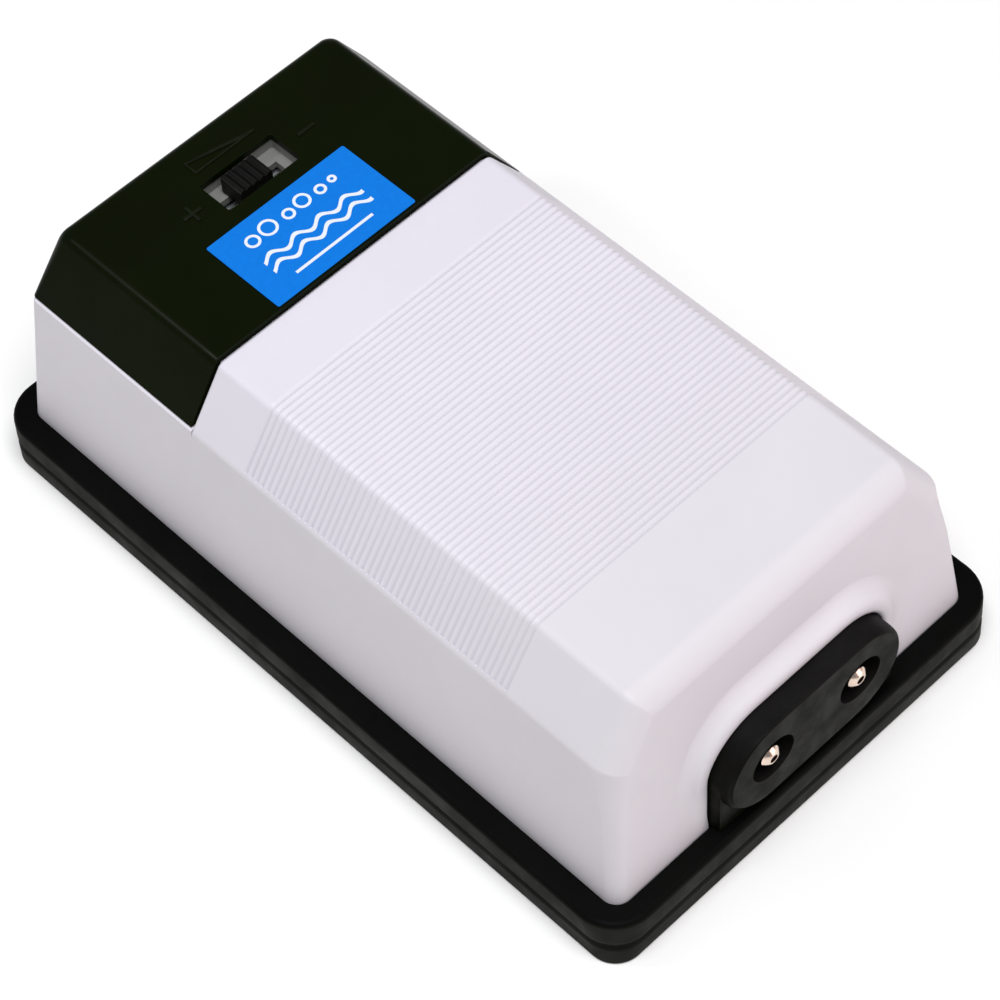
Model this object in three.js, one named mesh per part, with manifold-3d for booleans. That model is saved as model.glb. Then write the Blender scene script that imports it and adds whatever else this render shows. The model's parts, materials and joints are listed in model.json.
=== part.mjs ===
// Twin-outlet vibrating-diaphragm air pump for an aquarium, as an assembly of separate parts.
// Millimetres. +Z is up, the outlets face -Y, the flow slider and the black cover are at +Y.
// The origin is under the middle of the rubber boot, on the surface that the pump stands on.
import * as THREE from "three";
import { mergeVertices } from "three/addons/utils/BufferGeometryUtils.js";
import Module from "manifold-3d";

const wasm = await Module();
wasm.setup();

// ---------------------------------------------------------------- driving dimensions

const GAP = 0.3; // clearance between pieces that touch
const WALL = 2.2; // wall of the mouldings

// White housing: a drafted box with a chamfer along both long top edges.
const Z_HOUSING = 2.6; // lower edge, inside the boot
const Z_RIM = 12.4; // where the housing comes out of the boot
const Z_SHOULDER = 44.0;
const Z_TOP = 55.7;
const HALF_W_RIM = 43.4;
const HALF_W_SHOULDER = 39.9;
const HALF_W_TOP = 31.8;
const HALF_L_RIM = 75.0;
const END_DRAFT = 0.114; // lean of both end walls, mm per mm of height
const HOUSING_CORNER = 3;
const FRONT_EDGE_RADIUS = 4.5;

// Grooves across the top and both chamfers.
const GROOVE_COUNT = 47;
const GROOVE_FIRST_Y = 15.6;
const GROOVE_PITCH = 1.357;
const GROOVE_WIDTH = 0.5;
const GROOVE_DEPTH = 0.35;

// Black cover over the rear of the top.
const COVER_FRONT = 29.4;
const COVER_BOTTOM = 44.6;
const COVER_TOP = 56.6;
const COVER_HALF_W_BOTTOM = 39.5;
const COVER_HALF_W_TOP = 31.9;
const COVER_REAR_BOTTOM = 71.6;
const COVER_REAR_TOP = 70.9;
const COVER_WALL = 1.5;
const COVER_CORNER_BOTTOM = 1;
const COVER_CORNER_TOP = 2.5;
const CORE_CORNER = 3; // of the part of the housing inside the cover
const MARK_HEIGHT = 0.25; // of the raised marks, and of the label's top over the cover
const COVER_LEAN = (COVER_HALF_W_BOTTOM - COVER_HALF_W_TOP) / (COVER_TOP - COVER_BOTTOM);

// Flow slider: the slot in the cover, the well below it and the knob.
const SLIDER_Y = 56.15;
const SLOT_HALF_W = 8.4;
const SLOT_HALF_L = 3.95;
const WELL_FLOOR = 52.7;
const CEILING_REAR = 51.2;
const KNOB_X = -0.85; // where the knob stands at rest
const KNOB_HALF_W = 3.8;
const KNOB_HALF_L = 2.7;
const KNOB_TOP = 57.0;
const GRIP_PITCH = 1.3;
const GRIP_WIDTH = 0.6;
const GRIP_DEPTH = 0.5;
const STEM_HALF_W = 1;
const STEM_HALF_L = 0.7;
const STEM_BOTTOM = 45.4;
const STEM_TOP = 55.6;

// Label on the cover.
const LABEL_CENTRE = [-0.95, 39.2];
const LABEL_HALF_W = 16.2;
const LABEL_HALF_L = 9.35;

// Rubber boot round the bottom.
const BOOT_HALF_W = 48.4;
const BOOT_HALF_L = 79.5;
const BOOT_CORNER_BOTTOM = 6;
const BOOT_CORNER_TOP = 8.3;
const BOOT_WIDEST_Z = 10.6;
const BOOT_FLOOR = 2.3;
const BOOT_OPENING = [30, 60, 6]; // half width, half length, corner radius
const SCREW_X = 34.5;
const SCREW_Y = 63.5;

// Outlet block in the front wall.
const BLOCK_HALF_W = 21.2;
const BLOCK_TOP = 36;
const BLOCK_CORNER = 10.5;
const BLOCK_FRONT = -77.3;
const BLOCK_BACK = -66;
const BOSS_FRONT = -79.3;
const BOSS_HALF_W = 20.15;
const BOSS_Z = 25.75;
const BOSS_RADIUS = 10.05;
const OUTLET_X = 10.6;
const OUTLET_Z = 26.2;
const RECESS_RADIUS = 4.9;
const RECESS_FLOOR = -70;
const HOUSING_FRONT_LIP = -75.0; // the flared collar round the block comes out to here
const NIPPLE_TIP = -79.45;
const NIPPLE_BACK = -58;
const NIPPLE_STEM = 2.1; // radius
const TUBE_RADIUS = 3.2;
const TUBE_BORE = 2.3; // radius

// Power inlet in the rear wall.
const CORD_Z = 20;
const CORD_HOLE_RADIUS = 3.2;
const GROMMET_NECK = 5;

// Base plate that closes the housing.
const PLATE_TOP = 5.0;
const PLATE_BOTTOM = 2.9;
const PLATE_HALF_W = 41.7;
const PLATE_HALF_L = 73.4;
const FILTER_Y = -49.5;
const FILTER_CEILING = 8;
const FILTER_PAD_Z = [4.4, 7.7];

// Working parts, given for the right-hand side; the left is its mirror image.
const ARM_X = 9;
const ARM_Z = [17, 31];
const PIVOT_Y = -35;
const PIVOT_POST_TOP = 16.5;
const PIN_RADIUS = 1.5;
const PIN_BOTTOM = 6;
const BUSH_RADIUS = 3.2;
const PUMP_Y = -4;
const PUMP_Z = 24;
const POLE_FACE_Y = 22;
const CORE_BOTTOM = 14;
const CORE_TOP = 32;
const BOBBIN_Y = [24, 41.6];
const BOX_FACE_X = 20.6;
const BOX_BACK_X = 33;
const VALVE_BOX_HALF = 13;
const VALVE_PLATE_X = [21.1, 22.6];
const VALVE_PLATE_HALF = 11;
const FLAP_THICKNESS = 0.8;
const PORT_X = 27;
const OUTLET_PORT_Z = 29.5;
const INLET_PORT_Z = 18.5;
const BOARD_BOTTOM = 42;
const BOARD_TOP = 43.6;
const BOARD_SCREW = [17, 62.5];
const STRAP_SCREW = [26.4, 46];
const STRAP_BOTTOM = 12.8;
const STRAP_FOOT_TOP = 14;

// Cutting tools reach out to here, clear of the pump.
const FAR_SIDE = 60;
const FAR_FRONT = -90;
const FAR_REAR = 90;
const FAR_TOP = 70;

// ---------------------------------------------------------------- solids from geometries

// A closed geometry as a solid, turned outwards if its faces point in.
function solid(geometry) {
  const bare = new THREE.BufferGeometry();
  bare.setAttribute("position", geometry.getAttribute("position"));
  if (geometry.index) bare.setIndex(geometry.index);
  const merged = mergeVertices(bare, 1e-4);
  const vertProperties = new Float32Array(merged.attributes.position.array);
  const triVerts = new Uint32Array(merged.index.array).filter((_, i, all) => {
    const t = i - (i % 3);
    return all[t] !== all[t + 1] && all[t + 1] !== all[t + 2] && all[t] !== all[t + 2];
  });
  if (signedVolume(vertProperties, triVerts) < 0) triVerts.reverse();
  return new wasm.Manifold(new wasm.Mesh({ numProp: 3, vertProperties, triVerts }));
}

function signedVolume(vertices, triangles) {
  const corner = (i) => new THREE.Vector3().fromArray(vertices, 3 * triangles[i]);
  let six = 0;
  for (let i = 0; i < triangles.length; i += 3) {
    six += corner(i).dot(corner(i + 1).cross(corner(i + 2)));
  }
  return six / 6;
}

function geometryOf(manifold) {
  const mesh = manifold.getMesh();
  const geometry = new THREE.BufferGeometry();
  geometry.setAttribute("position", new THREE.BufferAttribute(new Float32Array(mesh.vertProperties), 3));
  geometry.setIndex(new THREE.BufferAttribute(new Uint32Array(mesh.triVerts), 1));
  const flat = geometry.toNonIndexed();
  flat.computeVertexNormals();
  return flat;
}

const joined = (solids) => solids.reduce((a, b) => a.add(b));
const cut = (body, tools) => tools.reduce((a, b) => a.subtract(b), body);

// Box between two corners, given as [low, high] on each axis in any order.
function box(x, y, z) {
  const size = [x, y, z].map(([a, b]) => Math.abs(b - a));
  const middle = [x, y, z].map(([a, b]) => (a + b) / 2);
  return solid(new THREE.BoxGeometry(...size).translate(...middle));
}

// Cylinder along an axis: centre gives the other two coordinates, in X, Y, Z order.
function rod(axis, radius, centre, from, to, sides = 20) {
  const geometry = new THREE.CylinderGeometry(radius, radius, Math.abs(to - from), sides);
  const middle = (from + to) / 2;
  if (axis === "x") geometry.rotateZ(Math.PI / 2).translate(middle, ...centre);
  if (axis === "y") geometry.translate(centre[0], middle, centre[1]);
  if (axis === "z") geometry.rotateX(Math.PI / 2).translate(...centre, middle);
  return solid(geometry);
}

// Body of revolution about a line along X or Y: profile holds [distance along the axis, radius].
function turned(axis, profile, centre, sides = 24) {
  const points = profile.map(([along, radius]) => new THREE.Vector2(radius, along));
  const geometry = new THREE.LatheGeometry(points, sides);
  if (axis === "x") geometry.rotateZ(-Math.PI / 2).translate(0, ...centre);
  if (axis === "y") geometry.translate(centre[0], 0, centre[1]);
  return solid(geometry);
}

// Outline in the XZ plane, extruded along Y.
function prismY(shape, from, to, curveSegments = 8) {
  const depth = Math.abs(to - from);
  const geometry = new THREE.ExtrudeGeometry(shape, { depth, bevelEnabled: false, curveSegments });
  return solid(geometry.rotateX(Math.PI / 2).translate(0, Math.max(from, to), 0));
}

// Outline in the XY plane, extruded along Z.
function prismZ(shape, from, to, curveSegments = 8) {
  const geometry = new THREE.ExtrudeGeometry(shape, { depth: to - from, bevelEnabled: false, curveSegments });
  return solid(geometry.translate(0, 0, from));
}

function polygon(points) {
  return new THREE.Shape(points.map(([x, y]) => new THREE.Vector2(x, y)));
}

// Solid skin over convex rings of points that all have the same count.
function loft(rings) {
  const count = rings[0].length;
  const index = [];
  for (let k = 0; k + 1 < rings.length; k++) {
    for (let i = 0; i < count; i++) {
      const a = k * count + i;
      const b = k * count + ((i + 1) % count);
      index.push(a, b, b + count, a, b + count, a + count);
    }
  }
  const last = (rings.length - 1) * count;
  for (let i = 1; i + 1 < count; i++) {
    index.push(0, i + 1, i, last, last + i, last + i + 1);
  }
  const geometry = new THREE.BufferGeometry();
  geometry.setAttribute("position", new THREE.Float32BufferAttribute(rings.flat(2), 3));
  geometry.setIndex(index);
  return solid(geometry);
}

// Horizontal ring: a rectangle with rounded corners, between front and rear on Y.
function levelRing(halfW, front, rear, radius, z, perCorner = 6, rearRadius = radius, x = 0) {
  const corners = [
    [x + halfW - rearRadius, rear - rearRadius, rearRadius],
    [x - halfW + rearRadius, rear - rearRadius, rearRadius],
    [x - halfW + radius, front + radius, radius],
    [x + halfW - radius, front + radius, radius],
  ];
  return corners.flatMap(([cx, cy, r], quarter) =>
    Array.from({ length: perCorner }, (_, i) => {
      const angle = ((quarter + i / (perCorner - 1)) * Math.PI) / 2;
      return [cx + r * Math.cos(angle), cy + r * Math.sin(angle), z];
    }),
  );
}

function roundedRectangle(halfW, halfL, radius, [x, y] = [0, 0]) {
  return polygon(levelRing(halfW, y - halfL, y + halfL, radius, 0, 5, radius, x).map(([a, b]) => [a, b]));
}

// ---------------------------------------------------------------- scene graph

const pump = new THREE.Group();

const finishes = {
  whitePlastic: { color: 0xe4e2ea, roughness: 0.45, metalness: 0 },
  blackGloss: { color: 0x0c1007, roughness: 0.25, metalness: 0 },
  blackPlastic: { color: 0x191a18, roughness: 0.5, metalness: 0 },
  blackRubber: { color: 0x121412, roughness: 0.8, metalness: 0 },
  blueLabel: { color: 0x147de1, roughness: 0.4, metalness: 0 },
  nickel: { color: 0xc9b8a2, roughness: 0.25, metalness: 1 },
  steel: { color: 0x9a9c9e, roughness: 0.35, metalness: 1 },
  magnet: { color: 0x3a3a3c, roughness: 0.5, metalness: 0.6 },
  copper: { color: 0xb4632c, roughness: 0.35, metalness: 1 },
  whiteFelt: { color: 0xd8d8d2, roughness: 1, metalness: 0 },
  greyPlastic: { color: 0x8d9092, roughness: 0.5, metalness: 0 },
  siliconeTube: { color: 0xcfd6d2, roughness: 0.35, metalness: 0 },
  greenBoard: { color: 0x1f6b3a, roughness: 0.45, metalness: 0 },
  yellowFilm: { color: 0xc98f1f, roughness: 0.4, metalness: 0 },
};

function add(name, body, finish) {
  const mesh = new THREE.Mesh(geometryOf(body), new THREE.MeshStandardMaterial(finishes[finish]));
  mesh.name = name;
  pump.add(mesh);
}

const SIDES = [
  ["left", -1],
  ["right", 1],
];

const HOUSING_SCREWS = [-1, 1].flatMap((sx) => [-1, 1].map((sy) => [sx * SCREW_X, sy * SCREW_Y]));
const BOARD_SCREWS = [-1, 1].map((s) => [s * BOARD_SCREW[0], BOARD_SCREW[1]]);
const STRAP_SCREWS = [-1, 1].map((s) => [s * STRAP_SCREW[0], STRAP_SCREW[1]]);

// Upright cylinders of one size at several places.
function uprights(places, radius, from, to, sides) {
  return places.map((place) => rod("z", radius, place, from, to, sides));
}

// ---------------------------------------------------------------- housing

function sideHalf(z) {
  const lower = (HALF_W_RIM - HALF_W_SHOULDER) / (Z_SHOULDER - Z_RIM);
  const upper = (HALF_W_SHOULDER - HALF_W_TOP) / (Z_TOP - Z_SHOULDER);
  return z <= Z_SHOULDER ? HALF_W_RIM - (z - Z_RIM) * lower : HALF_W_SHOULDER - (z - Z_SHOULDER) * upper;
}

const endHalf = (z) => HALF_L_RIM - (z - Z_RIM) * END_DRAFT;

// The two rear corners get sharper from the rim up to the shoulder.
function rearCorner(z) {
  const share = Math.min(Math.max((z - Z_RIM) / (Z_SHOULDER - Z_RIM), 0), 1);
  return HOUSING_CORNER + share * (COVER_CORNER_BOTTOM - HOUSING_CORNER);
}

// [half length, z] down the rounded top edge of an end wall, from the top to the wall.
function roundedEdge(steps = 5) {
  const lean = Math.atan(END_DRAFT);
  const centreZ = Z_TOP - FRONT_EDGE_RADIUS;
  const centreY = endHalf(centreZ) - FRONT_EDGE_RADIUS / Math.cos(lean);
  return Array.from({ length: steps + 1 }, (_, i) => {
    const angle = Math.PI / 2 - (i / steps) * (Math.PI / 2 - lean);
    return [centreY + FRONT_EDGE_RADIUS * Math.cos(angle), centreZ + FRONT_EDGE_RADIUS * Math.sin(angle)];
  });
}

function housingForm() {
  const straight = [Z_HOUSING, Z_RIM, Z_SHOULDER].map((z) => [endHalf(z), z]);
  const levels = [...straight, ...roundedEdge().reverse()];
  return loft(
    levels.map(([end, z]) => levelRing(sideHalf(z), -end, end, HOUSING_CORNER, z, 6, rearCorner(z))),
  );
}

const coverInner = (z) => COVER_HALF_W_BOTTOM - COVER_WALL - GAP - (z - COVER_BOTTOM) * COVER_LEAN;

// The part of the housing that fills the black cover.
function coverCore() {
  const front = COVER_FRONT - 9; // well inside the white part, so that the two are one body
  const rear = COVER_REAR_TOP - COVER_WALL - 2 * GAP;
  const levels = [Z_SHOULDER - 1, COVER_TOP - COVER_WALL - GAP];
  return loft(levels.map((z) => levelRing(coverInner(z) - GAP, front, rear, CORE_CORNER, z)));
}

function housingCavity() {
  const corner = 3;
  const chamferWall = 2.7;
  const lower = [Z_HOUSING - 1.6, Z_SHOULDER - 0.5].map((z) =>
    levelRing(sideHalf(z) - WALL, WALL - endHalf(z), endHalf(z) - WALL, corner, z),
  );
  // [z, y] of the front of the hollow, which follows the rounded edge outside it
  const front = [
    [Z_SHOULDER - 1, -69.1],
    [50, -67.6],
    [Z_TOP - WALL, -64],
  ].map(([z, y]) => levelRing(sideHalf(z) - chamferWall, y, COVER_FRONT - 2.5, corner, z));
  const rear = [Z_SHOULDER - 1, CEILING_REAR].map((z) =>
    levelRing(coverInner(z) - chamferWall, 15, 67, corner, z),
  );
  return joined([loft(lower), loft(front), loft(rear)]);
}

// One groove: a thin bracket-shaped blade that follows the chamfers and the top.
function grooveBlade(y) {
  const clear = 1; // how far the blade stands out of the housing
  const slope = new THREE.Vector2(Z_TOP - Z_SHOULDER, HALF_W_SHOULDER - HALF_W_TOP).normalize();
  const foot = (out) => [HALF_W_SHOULDER + out * slope.x, Z_SHOULDER + out * slope.y];
  const ridge = (out) => {
    const spread = out / (1 + slope.y);
    return [HALF_W_TOP + spread * slope.x, Z_TOP + out];
  };
  const right = [foot(clear), foot(-GROOVE_DEPTH), ridge(-GROOVE_DEPTH)];
  const left = [ridge(-GROOVE_DEPTH), foot(-GROOVE_DEPTH), foot(clear)].map(([x, z]) => [-x, z]);
  const [outX, outZ] = ridge(clear);
  const outer = [[-outX, outZ], [outX, outZ]];
  return prismY(polygon([...right, ...left, ...outer]), y - GROOVE_WIDTH / 2, y + GROOVE_WIDTH / 2);
}

// Upright arch in the XZ plane with rounded shoulders, grown by an offset.
function archPoints(offset, bottom, steps = 6) {
  const radius = BLOCK_CORNER + offset;
  const centreX = BLOCK_HALF_W - BLOCK_CORNER;
  const centreZ = BLOCK_TOP - BLOCK_CORNER;
  const quarter = (sign) =>
    Array.from({ length: steps + 1 }, (_, i) => {
      const angle = (i / steps) * (Math.PI / 2);
      return [sign * (centreX + radius * Math.cos(angle)), centreZ + radius * Math.sin(angle)];
    });
  const halfW = BLOCK_HALF_W + offset;
  return [[halfW, bottom], ...quarter(1), ...quarter(-1).reverse(), [-halfW, bottom]];
}

// The wall flares out to a lip round the outlet block.
function collar() {
  const foot = 8; // hidden inside the boot
  // [y, distance out from the block's outline]
  const stations = [
    [HOUSING_FRONT_LIP, 1.2],
    [-73.4, 1.7],
    [-72, 2.8],
    [-70.5, 5],
  ];
  return loft(stations.map(([y, offset]) => archPoints(offset, foot).map(([x, z]) => [x, y, z])));
}

// Everything that is taken out of the housing after its pillars are in.
function housingCuts() {
  const stemTravel = 6.8;
  const stemRoom = 1.2;
  const pilots = uprights(HOUSING_SCREWS, 1.75, PLATE_TOP - 1, 17, 12);
  const boardPilots = uprights(BOARD_SCREWS, 1.4, BOARD_TOP - 0.6, 49.5, 12);
  const arch = prismY(polygon(archPoints(GAP, 0)), FAR_FRONT, -62);
  const well = box(
    [-SLOT_HALF_W - GAP, SLOT_HALF_W + GAP],
    [SLIDER_Y - SLOT_HALF_L - GAP, SLIDER_Y + SLOT_HALF_L + GAP],
    [WELL_FLOOR, COVER_TOP],
  );
  const stemSlot = box(
    [-stemTravel, stemTravel],
    [SLIDER_Y - stemRoom, SLIDER_Y + stemRoom],
    [CEILING_REAR - 1, WELL_FLOOR + 1],
  );
  const cordHole = rod("y", GROMMET_NECK + GAP, [0, CORD_Z], 66, FAR_REAR);
  const grooveY = Array.from({ length: GROOVE_COUNT }, (_, i) => GROOVE_FIRST_Y - i * GROOVE_PITCH);
  return [...pilots, ...boardPilots, arch, well, stemSlot, cordHole, ...grooveY.map(grooveBlade)];
}

function upperHousing() {
  const underCover = box([-FAR_SIDE, FAR_SIDE], [COVER_FRONT - GAP, FAR_REAR], [COVER_BOTTOM - GAP, FAR_TOP]);
  const form = joined([housingForm().subtract(underCover), coverCore(), collar()]);
  const pillars = uprights(HOUSING_SCREWS, 3.5, PLATE_TOP + GAP, Z_SHOULDER - 1, 20);
  const boardPosts = uprights(BOARD_SCREWS, 2.8, BOARD_TOP + GAP, CEILING_REAR + 0.5, 16);
  const whole = joined([form.subtract(housingCavity()), ...pillars, ...boardPosts]);
  return cut(whole, housingCuts());
}

// ---------------------------------------------------------------- cover, label, slider

// Raised plus and minus signs beside the slot, and a wedge behind it that thins towards minus.
function coverMarks() {
  const x = 13.45;
  const halfLine = 0.35;
  const halfLength = 2;
  const height = [COVER_TOP - 0.2, COVER_TOP + MARK_HEIGHT];
  const bar = (centre) =>
    box([centre - halfLength, centre + halfLength], [SLIDER_Y - halfLine, SLIDER_Y + halfLine], height);
  const upright = box([-x - halfLine, -x + halfLine], [SLIDER_Y - halfLength, SLIDER_Y + halfLength], height);
  const wedgeEnd = 7;
  const wedgeFront = 62.6;
  const wedge = polygon([
    [-wedgeEnd, wedgeFront],
    [wedgeEnd, wedgeFront],
    [wedgeEnd, wedgeFront + 0.5],
    [-wedgeEnd, wedgeFront + 3.4],
  ]);
  return [bar(-x), upright, bar(x), prismZ(wedge, ...height)];
}

// Drafted skin of the cover, drawn in by an inset. It starts well ahead of the cover's front edge.
function coverSkin(inset, low, high, cornerLow, cornerHigh) {
  const half = (z) => COVER_HALF_W_BOTTOM - inset - (z - COVER_BOTTOM) * COVER_LEAN;
  const front = COVER_FRONT - 20;
  return loft([
    levelRing(half(low), front, COVER_REAR_BOTTOM - inset, cornerLow, low),
    levelRing(half(high), front, COVER_REAR_TOP - inset, cornerHigh, high),
  ]);
}

function topCover() {
  const outside = coverSkin(0, COVER_BOTTOM, COVER_TOP, COVER_CORNER_BOTTOM, COVER_CORNER_TOP);
  const inside = coverSkin(COVER_WALL + GAP, COVER_BOTTOM - 1.6, COVER_TOP - COVER_WALL, 1, 1);
  const slot = box(
    [-SLOT_HALF_W, SLOT_HALF_W],
    [SLIDER_Y - SLOT_HALF_L, SLIDER_Y + SLOT_HALF_L],
    [CEILING_REAR - 1, FAR_TOP],
  );
  const ahead = box([-FAR_SIDE, FAR_SIDE], [0, COVER_FRONT], [COVER_BOTTOM - 5, FAR_TOP]);
  return joined([cut(outside, [inside, ahead, slot]), ...coverMarks()]);
}

function labelPlate() {
  const shape = roundedRectangle(LABEL_HALF_W, LABEL_HALF_L, 0.4, LABEL_CENTRE);
  return prismZ(shape, COVER_TOP + 0.05, COVER_TOP + MARK_HEIGHT);
}

function flowKnob() {
  const body = box(
    [KNOB_X - KNOB_HALF_W, KNOB_X + KNOB_HALF_W],
    [SLIDER_Y - KNOB_HALF_L, SLIDER_Y + KNOB_HALF_L],
    [WELL_FLOOR + 0.4, KNOB_TOP],
  );
  const grips = [-2, -1, 0, 1, 2].map((step) => {
    const x = KNOB_X + step * GRIP_PITCH;
    const y = [SLIDER_Y - KNOB_HALF_L - 1, SLIDER_Y + KNOB_HALF_L + 1];
    return box([x - GRIP_WIDTH / 2, x + GRIP_WIDTH / 2], y, [KNOB_TOP - GRIP_DEPTH, FAR_TOP]);
  });
  const socket = box(
    [KNOB_X - STEM_HALF_W - GAP, KNOB_X + STEM_HALF_W + GAP],
    [SLIDER_Y - STEM_HALF_L - GAP, SLIDER_Y + STEM_HALF_L + GAP],
    [WELL_FLOOR, STEM_TOP + GAP],
  );
  return cut(body, [...grips, socket]);
}

function sliderStem() {
  return box(
    [KNOB_X - STEM_HALF_W, KNOB_X + STEM_HALF_W],
    [SLIDER_Y - STEM_HALF_L, SLIDER_Y + STEM_HALF_L],
    [STEM_BOTTOM, STEM_TOP],
  );
}

// ---------------------------------------------------------------- boot and base plate

// The boot's corners get rounder from the floor up.
function bootCorner(z) {
  const share = Math.min(z / BOOT_WIDEST_Z, 1);
  return BOOT_CORNER_BOTTOM + share * (BOOT_CORNER_TOP - BOOT_CORNER_BOTTOM);
}

function rubberBoot() {
  // [inset from the widest line, z] up the outside, with a groove round the middle
  const profile = [
    [1.1, 0],
    [0.6, 0.5],
    [0.3, 5.1],
    [0.8, 5.4],
    [0.8, 6.0],
    [0.2, 6.3],
    [0, BOOT_WIDEST_Z],
    [0.35, 11.6],
    [1.3, Z_RIM],
  ];
  const outside = loft(
    profile.map(([inset, z]) =>
      levelRing(BOOT_HALF_W - inset, inset - BOOT_HALF_L, BOOT_HALF_L - inset, bootCorner(z) - inset, z, 7),
    ),
  );
  const clearance = 0.35;
  const socket = loft(
    [BOOT_FLOOR, Z_RIM + 1].map((z) => {
      const end = endHalf(z) + clearance;
      return levelRing(sideHalf(z) + clearance, -end, end, HOUSING_CORNER + clearance, z);
    }),
  );
  const through = [-1, BOOT_FLOOR + 1];
  const opening = prismZ(roundedRectangle(...BOOT_OPENING), ...through);
  const screwHoles = uprights(HOUSING_SCREWS, 4, ...through, 16);
  return cut(outside, [socket, opening, ...screwHoles]);
}

function basePlate() {
  const plate = prismZ(roundedRectangle(PLATE_HALF_W, PLATE_HALF_L, 3), PLATE_BOTTOM, PLATE_TOP);
  const foot = PLATE_TOP - 0.5;
  const posts = [-1, 1].flatMap((s) => [
    box([s * 14, s * 20], [26, 41], [foot, CORE_BOTTOM - GAP]),
    box([s * 22.8, s * 30.5], [42, 50], [foot, STRAP_BOTTOM - GAP]),
    box([s * 22, s * 31], [PUMP_Y - 8, PUMP_Y + 8], [foot, PUMP_Z - VALVE_BOX_HALF - GAP]),
    rod("z", 4, [s * ARM_X, PIVOT_Y], foot, PIVOT_POST_TOP),
  ]);
  const filterBox = box([-14, 14], [FILTER_Y - 11, FILTER_Y + 11], [foot, 9.5]);
  const filterRoom = box([-12.5, 12.5], [FILTER_Y - 9.5, FILTER_Y + 9.5], [0, FILTER_CEILING]);
  const airHoles = [-8, 0, 8].map((x) => rod("z", 1.6, [x, FILTER_Y], FILTER_CEILING - 1, 11, 12));
  const pivots = [-1, 1].map((s) => [s * ARM_X, PIVOT_Y]);
  return cut(joined([plate, ...posts, filterBox]), [
    filterRoom,
    ...airHoles,
    ...uprights(HOUSING_SCREWS, 1.8, 0, 8, 16),
    ...uprights(HOUSING_SCREWS, 3.2, 0, PLATE_TOP - 1, 16),
    ...uprights(pivots, PIN_RADIUS + GAP, PIN_BOTTOM - GAP, 20, 16),
    ...uprights(STRAP_SCREWS, 1.5, 6, 20, 12),
  ]);
}

function filterCover() {
  const lid = box([-12.2, 12.2], [FILTER_Y - 9.2, FILTER_Y + 9.2], [PLATE_BOTTOM, FILTER_PAD_Z[0] - GAP]);
  const slotWidth = 1.6;
  const slotPitch = 3;
  const slots = [-2, -1, 0, 1, 2].map((step) => {
    const y = FILTER_Y + step * slotPitch;
    return box([-9, 9], [y - slotWidth / 2, y + slotWidth / 2], [PLATE_BOTTOM - 1, FILTER_PAD_Z[0]]);
  });
  return cut(lid, slots);
}

function filterPad() {
  return box([-12, 12], [FILTER_Y - 9, FILTER_Y + 9], FILTER_PAD_Z);
}

// Upright screw with a cross drive. Its tip can be above or below its head.
function screw([x, y], { headZ, headRadius, headHeight, shankRadius, tipZ }) {
  const driveHalf = [1.5, 0.3]; // length and width of one bar of the cross
  const driveDepth = 0.7;
  const headTop = headZ + headHeight;
  const up = tipZ > headZ;
  const neck = headZ + 0.5; // inside the head
  const head = rod("z", headRadius, [x, y], headZ, headTop, 16);
  const shank = rod("z", shankRadius, [x, y], Math.min(neck, tipZ), Math.max(neck, tipZ), 12);
  const driveZ = up ? [headZ - 1, headZ + driveDepth] : [headTop - driveDepth, headTop + 1];
  const drives = [driveHalf, [...driveHalf].reverse()].map(([halfX, halfY]) =>
    box([x - halfX, x + halfX], [y - halfY, y + halfY], driveZ),
  );
  return cut(head.add(shank), drives);
}

const housingScrew = {
  headZ: PLATE_BOTTOM - 0.3,
  headRadius: 2.8,
  headHeight: 1.1,
  shankRadius: 1.4,
  tipZ: 15,
};
const strapScrew = {
  headZ: STRAP_FOOT_TOP + GAP,
  headRadius: 2.6,
  headHeight: 1.5,
  shankRadius: 1.2,
  tipZ: 7,
};
const boardScrew = {
  headZ: BOARD_BOTTOM - 1.8,
  headRadius: 2.3,
  headHeight: 1.5,
  shankRadius: 1.1,
  tipZ: 48,
};

// ---------------------------------------------------------------- outlets

const outletAxis = (s) => [s * OUTLET_X, OUTLET_Z];

// Upright ring with round ends, in the plane at y.
function obroundRing(y, halfW, centreZ, radius, steps = 14) {
  const centreX = halfW - radius;
  const end = (sign) =>
    Array.from({ length: steps + 1 }, (_, i) => {
      const angle = (i / steps - 0.5) * Math.PI;
      return [sign * (centreX + radius * Math.cos(angle)), y, centreZ + sign * radius * Math.sin(angle)];
    });
  return [...end(1), ...end(-1)];
}

// The boss swells from its face back to the outline of the block.
function boss() {
  return loft([
    obroundRing(BLOCK_FRONT + 1, BLOCK_HALF_W - 0.05, BLOCK_TOP - BLOCK_CORNER, BLOCK_CORNER - 0.05),
    obroundRing(BLOCK_FRONT, BLOCK_HALF_W - 0.05, BLOCK_TOP - BLOCK_CORNER, BLOCK_CORNER - 0.05),
    obroundRing(BOSS_FRONT + 0.7, BLOCK_HALF_W - 0.35, BOSS_Z - 0.1, BOSS_RADIUS + 0.2),
    obroundRing(BOSS_FRONT, BOSS_HALF_W, BOSS_Z, BOSS_RADIUS),
  ]);
}

function outletBlock() {
  const arch = prismY(polygon(archPoints(0, Z_RIM + GAP)), BLOCK_FRONT, BLOCK_BACK);
  // behind the rim of the boot
  const tongue = box([-BLOCK_HALF_W, BLOCK_HALF_W], [-74.8, BLOCK_BACK], [6.3, Z_RIM + 1]);
  const holes = [-1, 1].flatMap((s) => [
    rod("y", RECESS_RADIUS, outletAxis(s), FAR_FRONT, RECESS_FLOOR, 28),
    rod("y", NIPPLE_STEM + 0.35, outletAxis(s), RECESS_FLOOR - 2, BLOCK_BACK + 6, 16),
  ]);
  return cut(joined([arch, tongue, boss()]), holes);
}

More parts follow.
